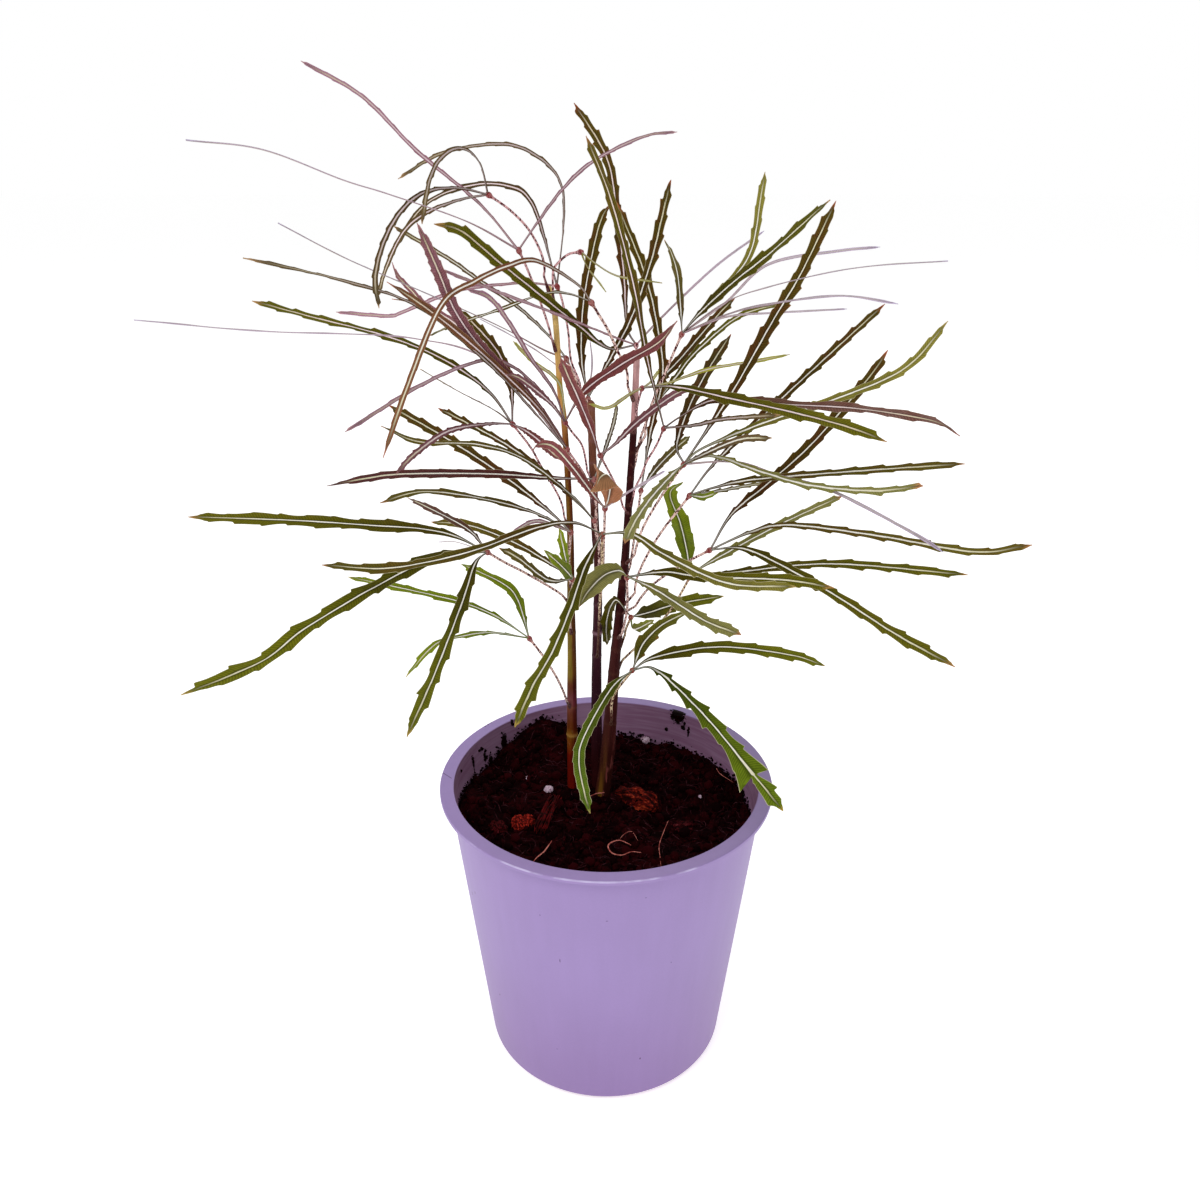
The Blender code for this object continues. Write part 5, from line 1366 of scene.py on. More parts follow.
for seed, (name, (stops, mottle, fibre, shade, ring_tint, slim)) in enumerate(BARKS.items()):
    line = stem_line(name, FINE_STEM_STEPS)
    length = length_of(line)
    feet = [(foot, LEAF_RING) for stem, foot, *_ in LEAVES.values() if stem == name]
    joints = [(stem_joint(name, foot, stem_lines[name])[0].z, pale)
              for foot, pale in feet + [(scar, OLD_RING) for scar in SCARS[name]]]
    frames = blade_frames(line, Vector((0, -1, 0)), 0, BLADE_STEPS)
    count = round(length / STEM_RING_STEP)
    rows = []
    for k, spot in enumerate(evenly(line, count)):
        share = k / (count - 1)
        side, up = frame_at(frames, share)
        near, pale = min((abs(spot.z - joint), pale) for joint, pale in joints)
        ring = swell(near, RING_REACH)
        old = math.exp(-share * length / ROUGH_REACH)
        slimmed = 1 - (1 - slim) * eased((share - 0.1) / 0.6)
        top = min(1, ((1 - share) * length / (1.2 * MM) + 0.05) ** 0.5)
        rows.append((spot, {
            "spot": spot, "side": side, "up": up, "reach": share * length,
            "half": stem_radius(name, share) * (1 + (0.04 + 0.12 * pale) * ring) * top * slimmed,
            "rough": 0.35 + fibre * old, "ring": ring * pale, "mottle": mottle * (0.4 + 0.6 * share),
            "shade": shade * (1 - eased((share - 0.68) / 0.12)), "ring_tint": Vector(ring_tint),
            "tint": blended(stops, share)}))
    guide = Guide()
    guide.add_line(rows)
    keep(grown(name + "_fine", guide.mesh(name), stem_tree, bark_paint, seed), "stem_bark", name)

# %% [markdown]
# ## The pot
#
# The pot is one thin shell of lilac plastic, and its rim is a flat flange that stands out all
# round. Such a shape is turned: its outline is drawn once and spun round the axis. Only the
# outline's corners are given here, each with the radius of its rounding. The six drain holes
# under it repeat round a circle, so a small tree cuts them.

# %% The pot's outline and its turning
POT_HEIGHT = 111 * MM
RIM_RADIUS = 60 * MM
MOUTH_RADIUS = 55 * MM
LIP_DEPTH = 1.6 * MM
LIP_EDGE = 0.5 * MM
WALL = 1.6 * MM
POT_FLOOR = 2.5 * MM
NECK_RADIUS = MOUTH_RADIUS + WALL
BASE_RADIUS = 45 * MM
BASE_EDGE = 2.5 * MM
LONGEST_STEP = 6 * MM
POT_SIDES = 180
ARC_STEPS = 5


def rounded(corners):
    """The outline through these corners, each (x, z, radius of its rounding)."""
    points = [Vector(corners[0][:2])]
    for before, corner, after in zip(corners, corners[1:], corners[2:]):
        middle = Vector(corner[:2])
        back = (Vector(before[:2]) - middle).normalized()
        on = (Vector(after[:2]) - middle).normalized()
        reach = corner[2] / math.tan(max(back.angle(on) / 2, 0.05))
        start, end = middle + back * reach, middle + on * reach
        for step in range(ARC_STEPS + 1):
            t = step / ARC_STEPS
            points.append(start * (1 - t) ** 2 + middle * 2 * t * (1 - t) + end * t * t)
    return points + [Vector(corners[-1][:2])]


def spread(points, longest):
    """The outline with points added where two are farther apart than this."""
    result = [points[0]]
    for a, b in zip(points, points[1:]):
        count = max(1, math.ceil((b - a).length / longest))
        result += [a.lerp(b, (k + 1) / count) for k in range(count)]
    return result


def wall_at(height):
    return BASE_RADIUS + (NECK_RADIUS - BASE_RADIUS) * height / (POT_HEIGHT - LIP_DEPTH)


# The shell, spun from its outline, with its walls closed at the axis
lip = POT_HEIGHT - LIP_DEPTH
outline = spread(rounded([
    (0, POT_FLOOR, 0), (wall_at(POT_FLOOR) - WALL, POT_FLOOR, 1.5 * MM), (MOUTH_RADIUS, lip, 1.0 * MM),
    (MOUTH_RADIUS, POT_HEIGHT, LIP_EDGE), (RIM_RADIUS, POT_HEIGHT, LIP_EDGE),
    (RIM_RADIUS, lip, 0.3 * MM), (wall_at(lip), lip, 0.35 * MM),
    (wall_at(BASE_EDGE), BASE_EDGE, 1.2 * MM), (BASE_RADIUS - BASE_EDGE, 0, 1.2 * MM),
    (0, 0, 0)]), LONGEST_STEP)
shape = bmesh.new()
spots = [shape.verts.new((x, 0, z)) for x, z in outline]
edges = [shape.edges.new(pair) for pair in zip(spots, spots[1:])]
bmesh.ops.spin(shape, geom=spots + edges, axis=(0, 0, 1), cent=(0, 0, 0),
               angle=2 * math.pi, steps=POT_SIDES, use_duplicate=False)
bmesh.ops.remove_doubles(shape, verts=shape.verts, dist=0.01 * MM)
bmesh.ops.recalc_face_normals(shape, faces=shape.faces)
shell = mesh_from(shape, "pot")
print("turned pot:", len(shell.polygons), "faces")

# %% A tree that cuts the drain holes
DRAIN_COUNT = 6
DRAIN_RADIUS = 4 * MM
DRAIN_CIRCLE = 32 * MM
drain_tree, size = new_growth("drain holes", {"Holes": DRAIN_COUNT, "Hole radius": DRAIN_RADIUS,
                                              "Circle radius": DRAIN_CIRCLE, "Depth": 4 * POT_FLOOR})
circle = drain_tree.node("GeometryNodeMeshCircle", {}, {"Vertices": size["Holes"],
                                                        "Radius": size["Circle radius"]})
half_step = drain_tree.node("ShaderNodeCombineXYZ", {}, {"Z": math.pi / size["Holes"]})
circle = drain_tree.node("GeometryNodeTransform", {}, {"Geometry": circle, "Rotation": half_step})
drill = drain_tree.node("GeometryNodeMeshCylinder", {}, {"Vertices": 40, "Radius": size["Hole radius"],
                                                         "Depth": size["Depth"]})
drills = drain_tree.node("GeometryNodeInstanceOnPoints", {}, {"Points": circle, "Instance": drill})
drills = drain_tree.node("GeometryNodeRealizeInstances", {}, {"Geometry": drills})
holed = drain_tree.node("GeometryNodeMeshBoolean", {"operation": "DIFFERENCE", "solver": "EXACT"},
                        {"Mesh 1": size["Geometry"], "Mesh 2": [drills]})
harvest(drain_tree, holed, size["Material"])

# %% [markdown]
# The plastic is matt lilac, painted darker and a little pinker towards the foot as shade, and
# wine-dark inside, partly where peat has stained it and partly as painted shade, darkest on the
# left. The rim's flat top is painted darker towards the right, as shade. It shows faint upright
# streaks from moulding, a hairline crack across the rim, a painted highlight along the rim's
# front edge, some specks and scratches, and black smears where wet soil was wiped along the
# inner wall. They lie at their own places in Object coordinates.

# %% Where the pot is marked
# Dirt on the inner wall and the mouth's edge: picture place, half width and half height in mm
SMEARS = [
    ((677.5, 716), 3.3, 3.6), ((675, 709), 2.3, 2.4), ((684.5, 711), 0.8, 2.2), ((651.4, 700), 0.7, 0.7),
    ((657, 701.5), 0.5, 0.4), ((663, 702.5), 0.6, 0.4), ((672, 705), 1.6, 0.6), ((666.4, 729.6), 0.8, 0.8),
    ((683, 727.5), 0.9, 1.0), ((688.4, 731), 0.45, 2.6), ((507.5, 717), 1.3, 1.0), ((512, 722), 0.6, 1.6),
    ((481.5, 749.5), 1.6, 0.7), ((474, 762), 0.6, 4.0), ((486, 757), 1.0, 2.6), ((492, 762), 1.4, 3.6),
    ((500, 758), 1.2, 4.6), ((461.5, 771), 0.5, 0.9), ((505, 742), 1.5, 4.0), ((642, 735), 0.8, 0.5),
]
# Specks and scratches outside and on the rim: picture place, half width and half height in mm
MARKS = [
    ((472.5, 893), 0.30, 0.9), ((475.2, 892.5), 0.25, 0.7), ((705.7, 906.5), 0.42, 1.0),
    ((645.5, 897), 0.5, 0.2), ((633, 908), 0.22, 0.35), ((607, 920.5), 0.5, 0.2),
    ((582, 895), 0.25, 0.25), ((587, 989), 0.28, 0.4), ((594, 979.5), 0.22, 0.22),
    ((671, 962), 0.22, 0.3), ((672, 916), 0.2, 0.5), ((640, 1058), 0.28, 0.6),
    ((500, 994.5), 0.25, 0.4), ((498, 1021), 0.25, 0.5), ((557.5, 1048), 0.5, 0.25),
    ((592, 939), 0.2, 0.2), ((735, 935), 0.3, 1.2), ((540, 915), 0.2, 0.2), ((688, 1003), 0.2, 0.3),
    ((560, 960), 0.18, 1.1),
]
RIM_SPECKS = [
    ((450.3, 756), 0.42), ((485.5, 726.4), 0.30), ((488, 724.6), 0.34), ((490.8, 722.6), 0.40),
    ((634.1, 691.2), 0.40), ((675.3, 698.8), 0.30), ((680.4, 700.4), 0.50), ((684.8, 702.3), 0.40),
    ((762, 757), 0.35), ((617, 688.5), 0.22), ((566, 690.6), 0.25),
]
CRACK = ((441.6, 772.0), (451.4, 778.2))
print("smears:", len(SMEARS), "marks:", len(MARKS), "specks on the rim:", len(RIM_SPECKS))

# %% From a place on the wall to a mask
# How far from the eye the walls are looked for, in mm, and how low the inner wall is seen
WALL_SEARCH = range(250, 620)
SEEN_WALL_FOOT = 80 * MM


def on_wall(pixel, inner):
    """The point behind a picture place on the pot's inner or outer wall."""
    ray = ray_to(pixel).normalized()
    for step in reversed(WALL_SEARCH) if inner else WALL_SEARCH:
        spot = EYE + ray * step * MM
        radius = math.hypot(spot.x, spot.y)
        if inner and spot.z > SEEN_WALL_FOOT and radius < wall_at(spot.z) - WALL:
            return spot
        if not inner and spot.z < POT_HEIGHT - LIP_DEPTH and radius < wall_at(max(spot.z, 0)):
            return spot
    return EYE


def far_out(tree, away):
    """The length of a vector."""
    return tree.node("ShaderNodeVectorMath", {"operation": "LENGTH"}, {0: away}, 1)


def spot_mask(tree, place, spot, wide, high, fray):
    """A frayed spot round a point: 1 in its middle and 0 outside."""
    away = (place - tuple(spot)) / (wide * MM, wide * MM, high * MM)
    return (far_out(tree, away) + fray).between(1.08, 0.92)


def line_mask(tree, place, start, end, thick):
    """A thin line between two points: how near the place is to it, from 1 to 0."""
    along = end - start
    share = tree.node("ShaderNodeVectorMath", {"operation": "DOT_PRODUCT"},
                      {0: place - tuple(start), 1: tuple(along / along.length_squared)}, 1)
    share = tree.maths("MAXIMUM", share, 0.0).least(1.0)
    nearest = tree.node("ShaderNodeVectorMath", {"operation": "SCALE"}, {0: tuple(along), "Scale": share})
    return far_out(tree, place - tuple(start) - nearest).between(thick, thick * 0.4)


print("the first smear lies", round(on_wall(SMEARS[0][0], True).z / MM), "mm high")

# %% The plastic's finish
LILAC = (0.332, 0.238, 0.490)
SHADED_FOOT_LILAC = (0.285, 0.185, 0.405)
INNER_LILAC = (0.250, 0.120, 0.215)
PALE_INNER_LILAC = (0.345, 0.200, 0.325)
HIGHLIGHT_LILAC = (0.66, 0.60, 0.84)
SOIL = (0.0045, 0.0004, 0.0008)
SCRATCH = (0.045, 0.014, 0.050)
# Lilac plastic: stained inside, with painted shade inside, towards the foot and on the rim's top, a painted
# highlight along the rim's edge, smeared, marked and cracked
paint, tree, place = new_paint("lilac plastic")
parts = tree.node("ShaderNodeSeparateXYZ", {}, {0: place}).socket.node.outputs
x, y, z = (Wire(tree, part) for part in parts)
radius = tree.maths("SQRT", x * x + y * y)
depth = radius - z * ((NECK_RADIUS - BASE_RADIUS) / (POT_HEIGHT - LIP_DEPTH))
inside = depth.between(BASE_RADIUS - 0.4 * WALL, BASE_RADIUS - 0.7 * WALL) * z.between(
    POT_HEIGHT, POT_HEIGHT - 0.5 * MM)
face = z.between(POT_HEIGHT - 0.4 * MM, POT_HEIGHT - 0.1 * MM)
# Painted highlight: a bright line along the outer edge of the rim's top, where light catches its rounding
wear_and_highlight = radius.between(RIM_RADIUS - 0.35 * MM, RIM_RADIUS - 0.15 * MM) * z.between(
    POT_HEIGHT - 0.75 * MM, POT_HEIGHT - 0.45 * MM)
streak = tree.noise(place * (1, 1, 0.05), 240, 2)
cloud = tree.noise(place, 30, 2)
fine = tree.noise(place, FINE, 2)
# Painted shade: the wall is darker and a little pinker towards the foot
colour = tree.mix(z.between(0.0, 0.075), SHADED_FOOT_LILAC, LILAC)
colour = colour * (0.90 + 0.14 * cloud) * (0.96 + 0.08 * streak) * (0.97 + 0.06 * fine)
# Painted shade: the rim's flat top face is darker, most towards the right
colour = colour * (1 - face * x.between(0.0, 60 * MM) * 0.30)
# The painted highlight shows only along the front of the rim, with breaks
wear_and_highlight = wear_and_highlight * tree.noise(place, 90, 3).between(0.42, 0.62) * y.between(0.0, -30 * MM)
wear_and_highlight = wear_and_highlight * x.between(-52 * MM, -30 * MM) * x.between(48 * MM, 20 * MM)
colour = tree.mix(wear_and_highlight * 0.6, colour, HIGHLIGHT_LILAC)
# Inside, the wall is wine-dark: partly peat stain in faint rings, partly painted shade, darker still towards
# the left
rings = tree.noise(place * (0.06, 0.06, 1), 900, 2)
stain_and_shade = tree.mix((rings * 0.6 + cloud * 0.4).between(0.35, 0.65), INNER_LILAC, PALE_INNER_LILAC)
colour = tree.mix(inside, colour, stain_and_shade * (0.78 + 0.27 * x.between(-45 * MM, 15 * MM)))
fray = (tree.noise(place, GRAIN, 4, 0.75) - 0.5) * 2.4
dirt = 0.0
for pixel, wide, high in SMEARS:
    dirt = spot_mask(tree, place, on_wall(pixel, True), wide, high, fray) + dirt
dirt = dirt * depth.between(BASE_RADIUS - 0.1 * WALL, BASE_RADIUS - 0.4 * WALL)
dirt = dirt.least(1.0)
colour = tree.mix(dirt, colour, SOIL)
marks = 0.0
for pixel, wide, high in MARKS:
    marks = spot_mask(tree, place, on_wall(pixel, False), wide, high, fray * 0.3) + marks
for pixel, wide in RIM_SPECKS:
    marks = spot_mask(tree, place, on_level(pixel, POT_HEIGHT), wide, wide, fray * 0.4) * 1.2 + marks
crack = line_mask(tree, place, *[on_level(end, POT_HEIGHT) for end in CRACK], 0.28 * MM) * face
colour = tree.mix((marks * 0.8 + crack * 0.6).least(0.92), colour, SCRATCH)
rough = 0.42 + 0.10 * cloud + 0.45 * dirt
height = streak + 0.25 * fine + dirt * 4
plastic = finished(paint, tree, colour, rough, gloss=0.22, height=height, strength=0.12, depth=0.1)

# %% The finished pot
POT_CREASE = math.radians(50)
pot = grown("pot_fine", shell, drain_tree, plastic)
pot.data.set_sharp_from_angle(angle=POT_CREASE)
keep(pot, "pot_plastic", "pot")

# %% [markdown]
# ## Peat
#
# The peat is a plug with the pot's taper, heaped up at the back left where it was pressed
# against the wall. Close to, it is a loose litter of crumbs, clods and fibres. The broad
# form follows the same formula as the solid. One tree then roughens its top, one lays clods on
# it and crumbs on the wall above, and one sweeps the fibres, because thousands of small things
# are placed best by a rule.

# %% The peat's broad form
# Broad swells: rise, place along X and Y, and reach; then lumps: rise and size, all in mm
SOIL_SWELLS = ((11, -29, 48, 19), (5, -56, 2, 17), (-4, 30, -8, 18))
SOIL_LUMPS = ((1.6, 13), (0.9, 5))


def peat_height(x, y):
    """The peat's uneven top: heaped up at the back left and along the left wall."""
    height = SOIL_LEVEL
    for rise, middle_x, middle_y, reach in SOIL_SWELLS:
        height += swell(math.hypot(x / MM - middle_x, y / MM - middle_y), reach, rise * MM)
    for rise, lump in SOIL_LUMPS:
        height += rise * MM * noise.noise(Vector((x, y, rise * MM)) / (lump * MM))
    return height


def inner_radius(height):
    return wall_at(height) - WALL


print("the peat's middle is", round(peat_height(0, 0) / MM), "mm high")

# %% The plug, with a fine top, plain sides and a plain bottom
SOIL_SIDE_GAP = 0.5 * MM
PEAT_RINGS = 84
PEAT_SIDES = 250
shape = bmesh.new()
bottom = POT_FLOOR + GAP
middle = shape.verts.new((0, 0, peat_height(0, 0)))
under = shape.verts.new((0, 0, bottom))
turns = [2 * math.pi * k / PEAT_SIDES for k in range(PEAT_SIDES)]
rings = []
for ring in range(1, PEAT_RINGS + 1):
    row = []
    for turn in turns:
        height = SOIL_LEVEL
        for _ in range(3):
            radius = (inner_radius(height) - SOIL_SIDE_GAP) * ring / PEAT_RINGS
            x, y = radius * math.cos(turn), radius * math.sin(turn)
            height = peat_height(x, y)
        row.append(shape.verts.new((x, y, height)))
    rings.append(row)
foot_radius = inner_radius(bottom) - SOIL_SIDE_GAP
foot = [shape.verts.new((foot_radius * math.cos(t), foot_radius * math.sin(t), bottom)) for t in turns]
for k in range(PEAT_SIDES):
    n = (k + 1) % PEAT_SIDES
    shape.faces.new((middle, rings[0][k], rings[0][n]))
    for inner, outer in zip(rings, rings[1:]):
        shape.faces.new((inner[k], outer[k], outer[n], inner[n]))
    shape.faces.new((rings[-1][k], foot[k], foot[n], rings[-1][n]))
    shape.faces.new((under, foot[n], foot[k]))
plug = mesh_from(shape, "peat")
print("plug:", len(plug.polygons), "faces")

# %% A tree that roughens the top
rough_tree, size = new_growth("peat relief", {"Clod height": 2.6 * MM, "Crumb height": 0.9 * MM,
                                              "Lowest": 80 * MM})
spot = rough_tree.node("GeometryNodeInputPosition")
clods = rough_tree.noise(spot, 170, 2) - 0.5
crumbs = rough_tree.noise(spot, 700, 3, 0.6) - 0.5
level = rough_tree.node("ShaderNodeSeparateXYZ", {}, {0: spot}, 2)
rise = (clods * size["Clod height"] + crumbs * size["Crumb height"] * 2) * (level > size["Lowest"])
rise = rough_tree.node("ShaderNodeCombineXYZ", {}, {"Z": rise})
lifted = set_at(rough_tree, size["Geometry"], rise, "Offset")
harvest(rough_tree, stored(rough_tree, lifted, "tone", clods + crumbs), size["Material"])

# %% A tree that lays clods
clod_tree, size = new_growth("peat clods", {"Uneven": 0.5, "Grain": 0.55})
ball = clod_tree.node("GeometryNodeMeshIcoSphere", {}, {"Radius": 0.5, "Subdivisions": 2})
random_turn = clod_tree.node("FunctionNodeRandomValue", {"data_type": "FLOAT_VECTOR"},
                             {"Max": 2 * math.pi, "Seed": size["Seed"]})
random_size = clod_tree.node("FunctionNodeRandomValue", {"data_type": "FLOAT_VECTOR"},
                             {"Min": 0.65, "Max": 1.2, "Seed": size["Seed"] + 1})
laid = clod_tree.node("GeometryNodeInstanceOnPoints", {}, {
    "Points": clod_tree.node("GeometryNodeMeshToPoints", {}, {"Mesh": size["Geometry"]}),
    "Instance": ball, "Rotation": random_turn, "Scale": random_size * attribute(clod_tree, "across")})
laid = clod_tree.node("GeometryNodeRealizeInstances", {}, {"Geometry": laid})
spot = clod_tree.node("GeometryNodeInputPosition")
dents = clod_tree.noise(spot, 800, 2, 0.6, 1) - (0.5, 0.5, 0.5)
bent = dents * attribute(clod_tree, "across") * size["Uneven"]
bent = bent + (clod_tree.noise(spot, 2600, 1, 0.5, 1) - (0.5, 0.5, 0.5)) * size["Grain"] * MM
harvest(clod_tree, set_at(clod_tree, laid, bent, "Offset"), size["Material"])

# %% [markdown]
# Peat is nearly black with a wine-red cast. Its clods catch a dull red light at their edges,
# and only the fibres are clearly lighter. It is fully matt.

# %% The peat's finish
def peat_paint(name, dark, light, lightest):
    paint, tree, place = new_paint(name)
    broad = tree.noise(place, 120, 3)
    fine = tree.noise(place, 1100, 3, 0.65)
    tone = broad * 0.5 + fine * 0.5 + painted_by(tree, "tone") * 0.6
    colour = tree.mix(tone.between(0.42, 0.72), dark, light)
    colour = tree.mix(fine.between(0.62, 0.76) * 0.6, colour, lightest)
    rough = 0.80 + 0.15 * fine
    return finished(paint, tree, colour, rough, gloss=0.02, height=fine, strength=0.6, depth=0.25)


soil_paint = peat_paint("peat", (0.0036, 0.0001, 0.0003), (0.021, 0.0009, 0.0019), (0.080, 0.010, 0.016))
fibre_paint = peat_paint("peat fibre", (0.020, 0.003, 0.005), (0.085, 0.026, 0.034), (0.24, 0.120, 0.140))
keep(grown("peat_fine", plug, rough_tree, soil_paint), "peat", "peat")

# %% Lay the clods
CLOD_COUNT = 1900
STEM_CLEAR = 3.2 * MM
WALL_CLEAR = 1.5 * MM


def peat_place(draw):
    """A random place on the peat, as x and y."""
    turn = draw.uniform(0, 2 * math.pi)
    radius = math.sqrt(draw.random()) * (inner_radius(SOIL_LEVEL) - WALL_CLEAR)
    return radius * math.cos(turn), radius * math.sin(turn)


draw = random.Random("clods")
guide = Guide()
feet = [line[1] for line in stem_lines.values()]
for _ in range(CLOD_COUNT):
    x, y = peat_place(draw)
    across = (0.7 + 3.6 * draw.random() ** 4) * MM
    if min(math.hypot(x - foot.x, y - foot.y) for foot in feet) < STEM_CLEAR + across / 2:
        continue
    guide.add_line([(Vector((x, y, peat_height(x, y) + across * 0.12)),
                     {"across": across, "tone": draw.uniform(-0.25, 0.35)})])
keep(grown("peat_clods", guide.mesh("clods"), clod_tree, soil_paint, 3), "peat")

# %% Crumbs that stick to the wall
EDGE_CRUMBS = 620
WALL_FOOT = 53 * MM
CRUMB_SUNK = 0.15 * MM
HIGHEST_CRUMB = POT_HEIGHT - 2 * MM
# How many crumbs stick to each square millimetre of a smear
SMEAR_CRUMBS = 11


def add_wall_crumb(guide, draw, turn, height):
    """A crumb that sticks to the inner wall, at this angle and height."""
    radius = inner_radius(height) - CRUMB_SUNK
    spot = Vector((radius * math.cos(turn), radius * math.sin(turn), min(height, HIGHEST_CRUMB)))
    across = (0.35 + 0.9 * draw.random() ** 2) * MM
    guide.add_line([(spot, {"across": across, "tone": draw.uniform(-0.25, 0.0)})])


# They lie in the inner wall's smears, and just above the peat
draw = random.Random("crumbs")
guide = Guide()
for pixel, wide, high in SMEARS:
    middle = on_wall(pixel, True)
    inwards = Vector((-middle.x, -middle.y, 0)).normalized()
    along = Vector((-inwards.y, inwards.x, 0))
    for _ in range(round(SMEAR_CRUMBS * wide * high)):
        spot = middle + along * draw.gauss(0, wide * 0.4) * MM
        spot.z += draw.gauss(0, high * 0.4) * MM
        if spot.z < POT_HEIGHT - LIP_DEPTH:
            add_wall_crumb(guide, draw, math.atan2(spot.y, spot.x), spot.z)
for _ in range(EDGE_CRUMBS):
    turn = draw.uniform(0, 2 * math.pi)
    foot = peat_height(WALL_FOOT * math.cos(turn), WALL_FOOT * math.sin(turn))
    climb = 0.6 + 1.2 * abs(noise.noise(Vector((math.cos(turn), math.sin(turn), 0)) * 5))
    add_wall_crumb(guide, draw, turn, foot + abs(draw.gauss(0, climb)) * MM)
keep(grown("wall_crumbs", guide.mesh("crumbs"), clod_tree, soil_paint, 4), "peat")

# %% A thinner sweep for threads
def new_sweep(name, sides):
    """A tree that sweeps a plain round thread along each guide line."""
    tree, size = new_growth(name, {"Thickness": 1.0})
    skin = swept(tree, size["Geometry"], sides)
    harvest(tree, set_round(tree, skin, attribute(tree, "half") * size["Thickness"]), size["Material"])
    return tree


def fibre_rows(points, thick):
    """Rows of a thin round thread through these points."""
    line = curve_through(points, 3)
    frames = blade_frames(line, Vector((0.3, 0.2, 1)), 0, max(len(line), 3))
    rows = []
    for k, spot in enumerate(line):
        share = k / (len(line) - 1)
        side, up = frame_at(frames, share)
        rows.append((spot, {"spot": spot, "side": side, "up": up, "tone": thick / MM - 0.1,
                            "half": thick * (0.35 + 0.65 * math.sin(math.pi * min(share * 0.9 + 0.1, 1)))}))
    return rows


thread_tree = new_sweep("threads", 4)

# %% Lay the fibres
FIBRE_COUNT = 620
# Short curved threads that lie on the peat, half sunk here and there
draw = random.Random("fibres")
guide = Guide()
for _ in range(FIBRE_COUNT):
    x, y = peat_place(draw)
    turn = draw.uniform(0, 2 * math.pi)
    step = draw.uniform(0.8, 2.4) * MM
    points = []
    for _ in range(4):
        if math.hypot(x, y) > inner_radius(SOIL_LEVEL) - WALL_CLEAR:
            break
        points.append(Vector((x, y, peat_height(x, y) + draw.uniform(-0.1, 1.3) * MM)))
        turn += draw.gauss(0, 0.5)
        x, y = x + step * math.cos(turn), y + step * math.sin(turn)
    if len(points) > 2:
        guide.add_line(fibre_rows(points, draw.uniform(0.06, 0.17) * MM))
keep(grown("peat_fibres", guide.mesh("fibres"), thread_tree, fibre_paint, 5), "peat")

# %% [markdown]
# ## Perlite and bark
#
# Four white grains of perlite and four chips of bark lie in the peat. Their solids have the
# right size and place but are coarse, so each fine one starts as a copy of its solid, merged,
# then divided and worn by noise. Perlite is a popped glass foam, so it is lumpy and
# white. Bark is layered and fibrous, rust red, with dark cracks along the grain.

# %% Finer copies of the loose bits
# How each bit is turned about the upright, in degrees
TURNS = {"perlite_left": 20, "perlite_small": 70, "perlite_right": 130, "perlite_front": 40,
         "bark_orange": 35, "bark_dull": -50, "bark_red": -32, "bark_right": 15}


def finer(name, levels, wear_and_highlight, grain, stretch, kept=1.0):
    """A finer, worn copy of a node's solid, shrunk about its middle to the share that is kept."""
    shape = bmesh.new()
    shape.from_mesh(nodes[name].data)
    bmesh.ops.remove_doubles(shape, verts=shape.verts, dist=0.01 * MM)
    for _ in range(levels):
        bmesh.ops.subdivide_edges(shape, edges=shape.edges, cuts=1, use_grid_fill=True, smooth=0.8)
    shape.normal_update()
    middle = sum((vert.co for vert in shape.verts), Vector()) / len(shape.verts)
    turn = math.radians(TURNS[name])
    along = Vector((math.cos(turn), math.sin(turn), 0))
    moves = []
    for vert in shape.verts:
        away = vert.co - middle
        away = away - along * away.dot(along) * (1 - stretch)
        moves.append(vert.normal * wear_and_highlight * MM * (noise.noise(away / (grain * MM)) * 1.4
                                                + 0.5 * noise.noise(away / (grain * 0.35 * MM))))
    for vert, move in zip(shape.verts, moves):
        vert.co = middle + (vert.co - middle) * kept + move
    thing = new_object(name + "_fine", mesh_from(shape, name))
    thing.data.shade_smooth()
    return thing


# %% The finish of perlite and of bark
paint, tree, place = new_paint("perlite")
lump = tree.noise(place, 900, 3)
colour = tree.mix(lump.between(0.35, 0.6), (0.28, 0.15, 0.22), (0.62, 0.47, 0.57))
white = finished(paint, tree, colour, 0.9, gloss=0.1, height=lump, strength=0.6, depth=0.3)


def chip_paint(name, turn, dark, light, crest, granular):
    """Bark: dark cracks along the grain or between grains, and brighter crests, partly from wear and partly
    painted highlight.
    """
    paint, tree, place = new_paint(name)
    grain = tree.node("ShaderNodeMapping", {}, {"Vector": place, "Rotation": (0, 0, -turn)})
    fibres = tree.noise(grain * (0.14, 1, 1), 1000, 3, 0.7)
    cells = tree.noise(place, FINE, 2, 0.6)
    tone = fibres * (1 - granular) + cells * granular
    colour = tree.mix(tone.between(0.44, 0.56), dark, light)
    # Partly painted highlight: the raised crests are painted lighter
    colour = tree.mix(tone.between(0.55, 0.66), colour, crest)
    return finished(paint, tree, colour, 0.85, gloss=0.05, height=tone, strength=0.9, depth=0.5)


# %% Grains and chips
# Bark chips: colours of the cracks, the bark and the crests (lighter from wear and from painted highlight),
# and how granular they are
CHIPS = {
    "bark_orange": ((0.030, 0.0010, 0.0008), (0.235, 0.010, 0.006), (0.50, 0.048, 0.024), 0.9),
    "bark_dull": ((0.008, 0.0002, 0.0003), (0.044, 0.001, 0.002), (0.150, 0.020, 0.026), 0.6),
    "bark_red": ((0.009, 0.0003, 0.0003), (0.105, 0.005, 0.003), (0.37, 0.045, 0.015), 0.12),
    "bark_right": ((0.008, 0.0002, 0.0003), (0.048, 0.002, 0.004), (0.180, 0.030, 0.036), 0.4),
}
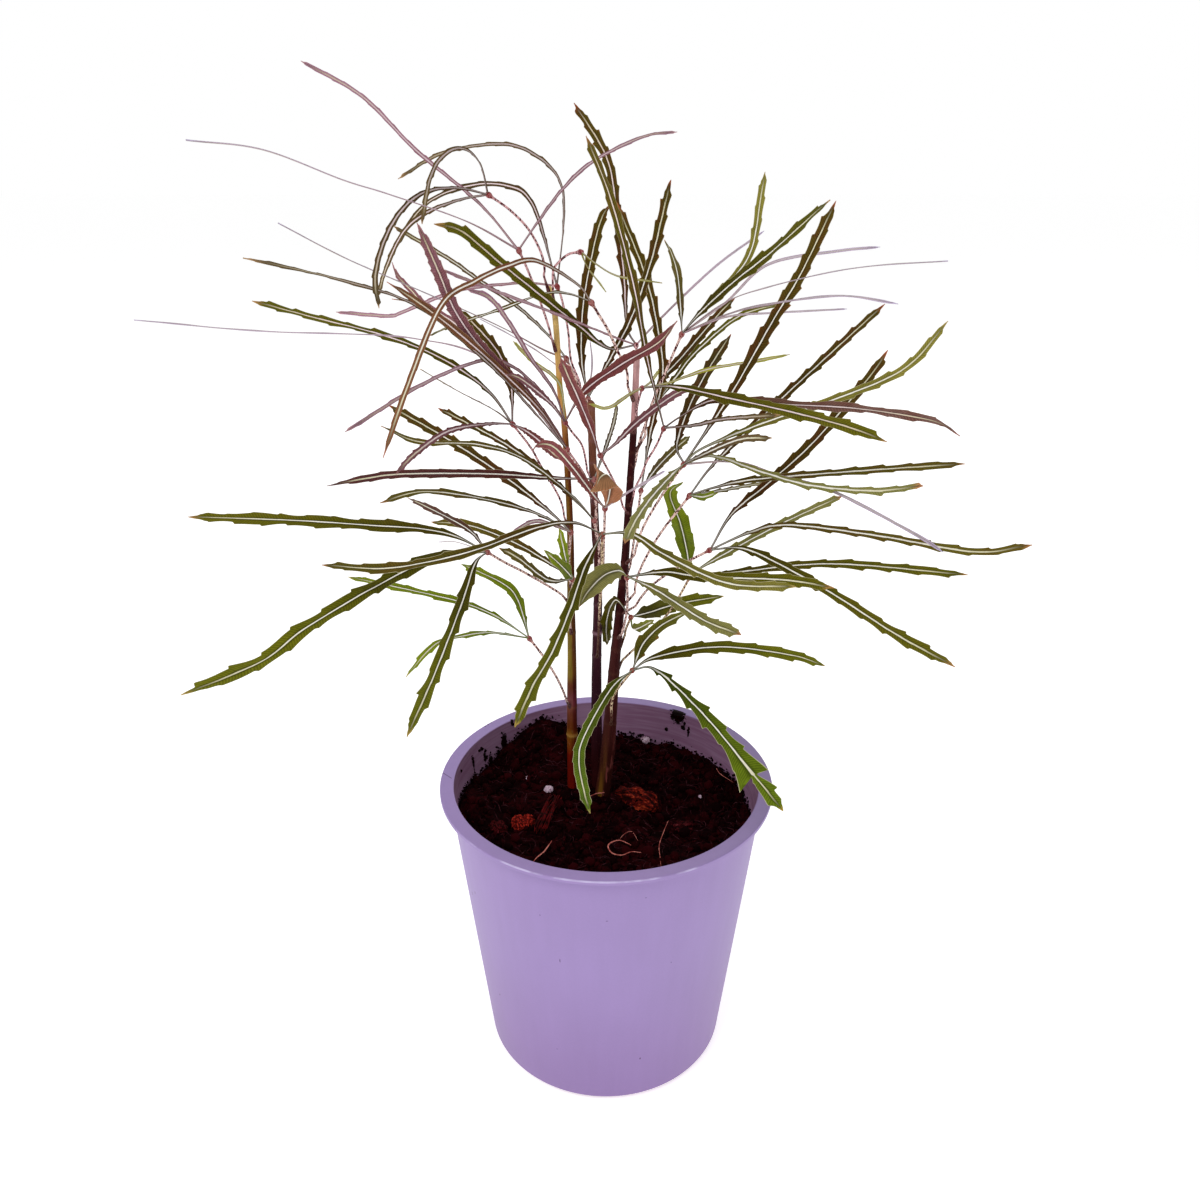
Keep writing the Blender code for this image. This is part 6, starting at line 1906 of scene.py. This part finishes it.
# How much smaller than its solid each grain of perlite is worn
WORN_GRAINS = {"perlite_left": 0.86, "perlite_small": 0.72, "perlite_right": 0.92, "perlite_front": 0.55}
for name, angle in TURNS.items():
    if name in CHIPS:
        granular = CHIPS[name][3]
        bit = finer(name, levels=4, wear_and_highlight=0.8, grain=1.3, stretch=0.3 + 0.7 * granular)
        bit.data.materials.append(chip_paint(name.replace("_", " "), math.radians(angle), *CHIPS[name]))
        keep(bit, "bark_chip", name)
    else:
        bit = finer(name, levels=3, wear_and_highlight=0.25, grain=0.9, stretch=1.0, kept=WORN_GRAINS[name])
        bit.data.materials.append(white)
        keep(bit, "perlite_grain", name)

# %% [markdown]
# ## Rootlets and bark fibres
#
# Six pale rootlets and a strip of dark red bark fibres lie loose on the peat. They are round
# threads, so the sweep that makes the peat's fibres makes them too, with more sides, because
# they are thicker.

# %% Rootlets on the peat
# Each rootlet's picture route, and its half thickness in mm
ROOTLETS = {
    "rootlet_left": ([(552, 846), (547, 852), (543, 857), (537, 863), (532, 868)], 0.24),
    "rootlet_loop": ([(631, 850), (620, 846), (611, 848), (608, 852), (612, 858), (622, 860), (631, 857),
                      (641, 858)], 0.24),
    "rootlet_thin": ([(620, 844), (625, 838), (632, 836), (638, 846)], 0.10),
    "rootlet_right": ([(668, 826), (663, 838), (659, 850), (660, 862), (661, 873)], 0.13),
    "rootlet_back": ([(716, 772), (719, 778), (724, 782), (733, 787)], 0.12),
    "rootlet_foot": ([(590, 800), (597, 797), (604, 796), (608, 792)], 0.16),
}


def on_peat(pixel):
    """The point of the peat behind a picture position."""
    spot = on_level(pixel, SOIL_LEVEL)
    for _ in range(4):
        spot = on_level(pixel, peat_height(spot.x, spot.y))
    return spot


def thread_paint(name, dark, light):
    paint, tree, place = new_paint(name)
    colour = tree.mix(tree.noise(place, 500, 2).between(0.35, 0.65), dark, light)
    return finished(paint, tree, colour, 0.6, gloss=0.05)


guide = Guide()
for name, (route_seen, thick) in ROOTLETS.items():
    draw = random.Random(name)
    points = [on_peat(pixel) + Vector((0, 0, draw.uniform(1.6, 2.5) * MM)) for pixel in route_seen]
    guide.add_line(fibre_rows(points, thick * MM))
root_tree = new_sweep("root threads", 8)
root_paint = thread_paint("rootlet", (0.30, 0.060, 0.050), (0.74, 0.26, 0.21))
keep(grown("rootlets", guide.mesh("rootlets"), root_tree, root_paint), "peat")

# %% A strip of bark fibres
# The strip in front of the left stem: its picture route and how many strands it has
STRIP = [(557, 799), (553, 806), (549, 814), (545, 823), (542, 830), (540, 836)]
STRIP_STRANDS = 16
guide = Guide()
draw = random.Random("strip")
for strand in range(STRIP_STRANDS):
    aside = (strand - STRIP_STRANDS // 2) * 0.30 * MM
    points = [on_peat(pixel) + Vector((aside + draw.gauss(0, 0.3) * MM, 0, draw.uniform(0.8, 2.3) * MM))
              for pixel in STRIP]
    guide.add_line(fibre_rows(points, draw.uniform(0.16, 0.34) * MM))
strip_paint = thread_paint("bark strip", (0.012, 0.0002, 0.0003), (0.095, 0.002, 0.003))
keep(grown("bark_strip", guide.mesh("bark_strip"), root_tree, strip_paint), "peat")

# %% [markdown]
# ## Joining the model
#
# Nothing in a potted plant moves on a joint, so every piece rides on the one body. Each fine
# piece stands for the solid of its own name, which stays for collision but is hidden.

# %% Ride and replace
for piece, slot, replaced in pieces:
    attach(piece, "root")
    if replaced:
        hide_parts(*replaced)
print("pieces:", len(pieces))
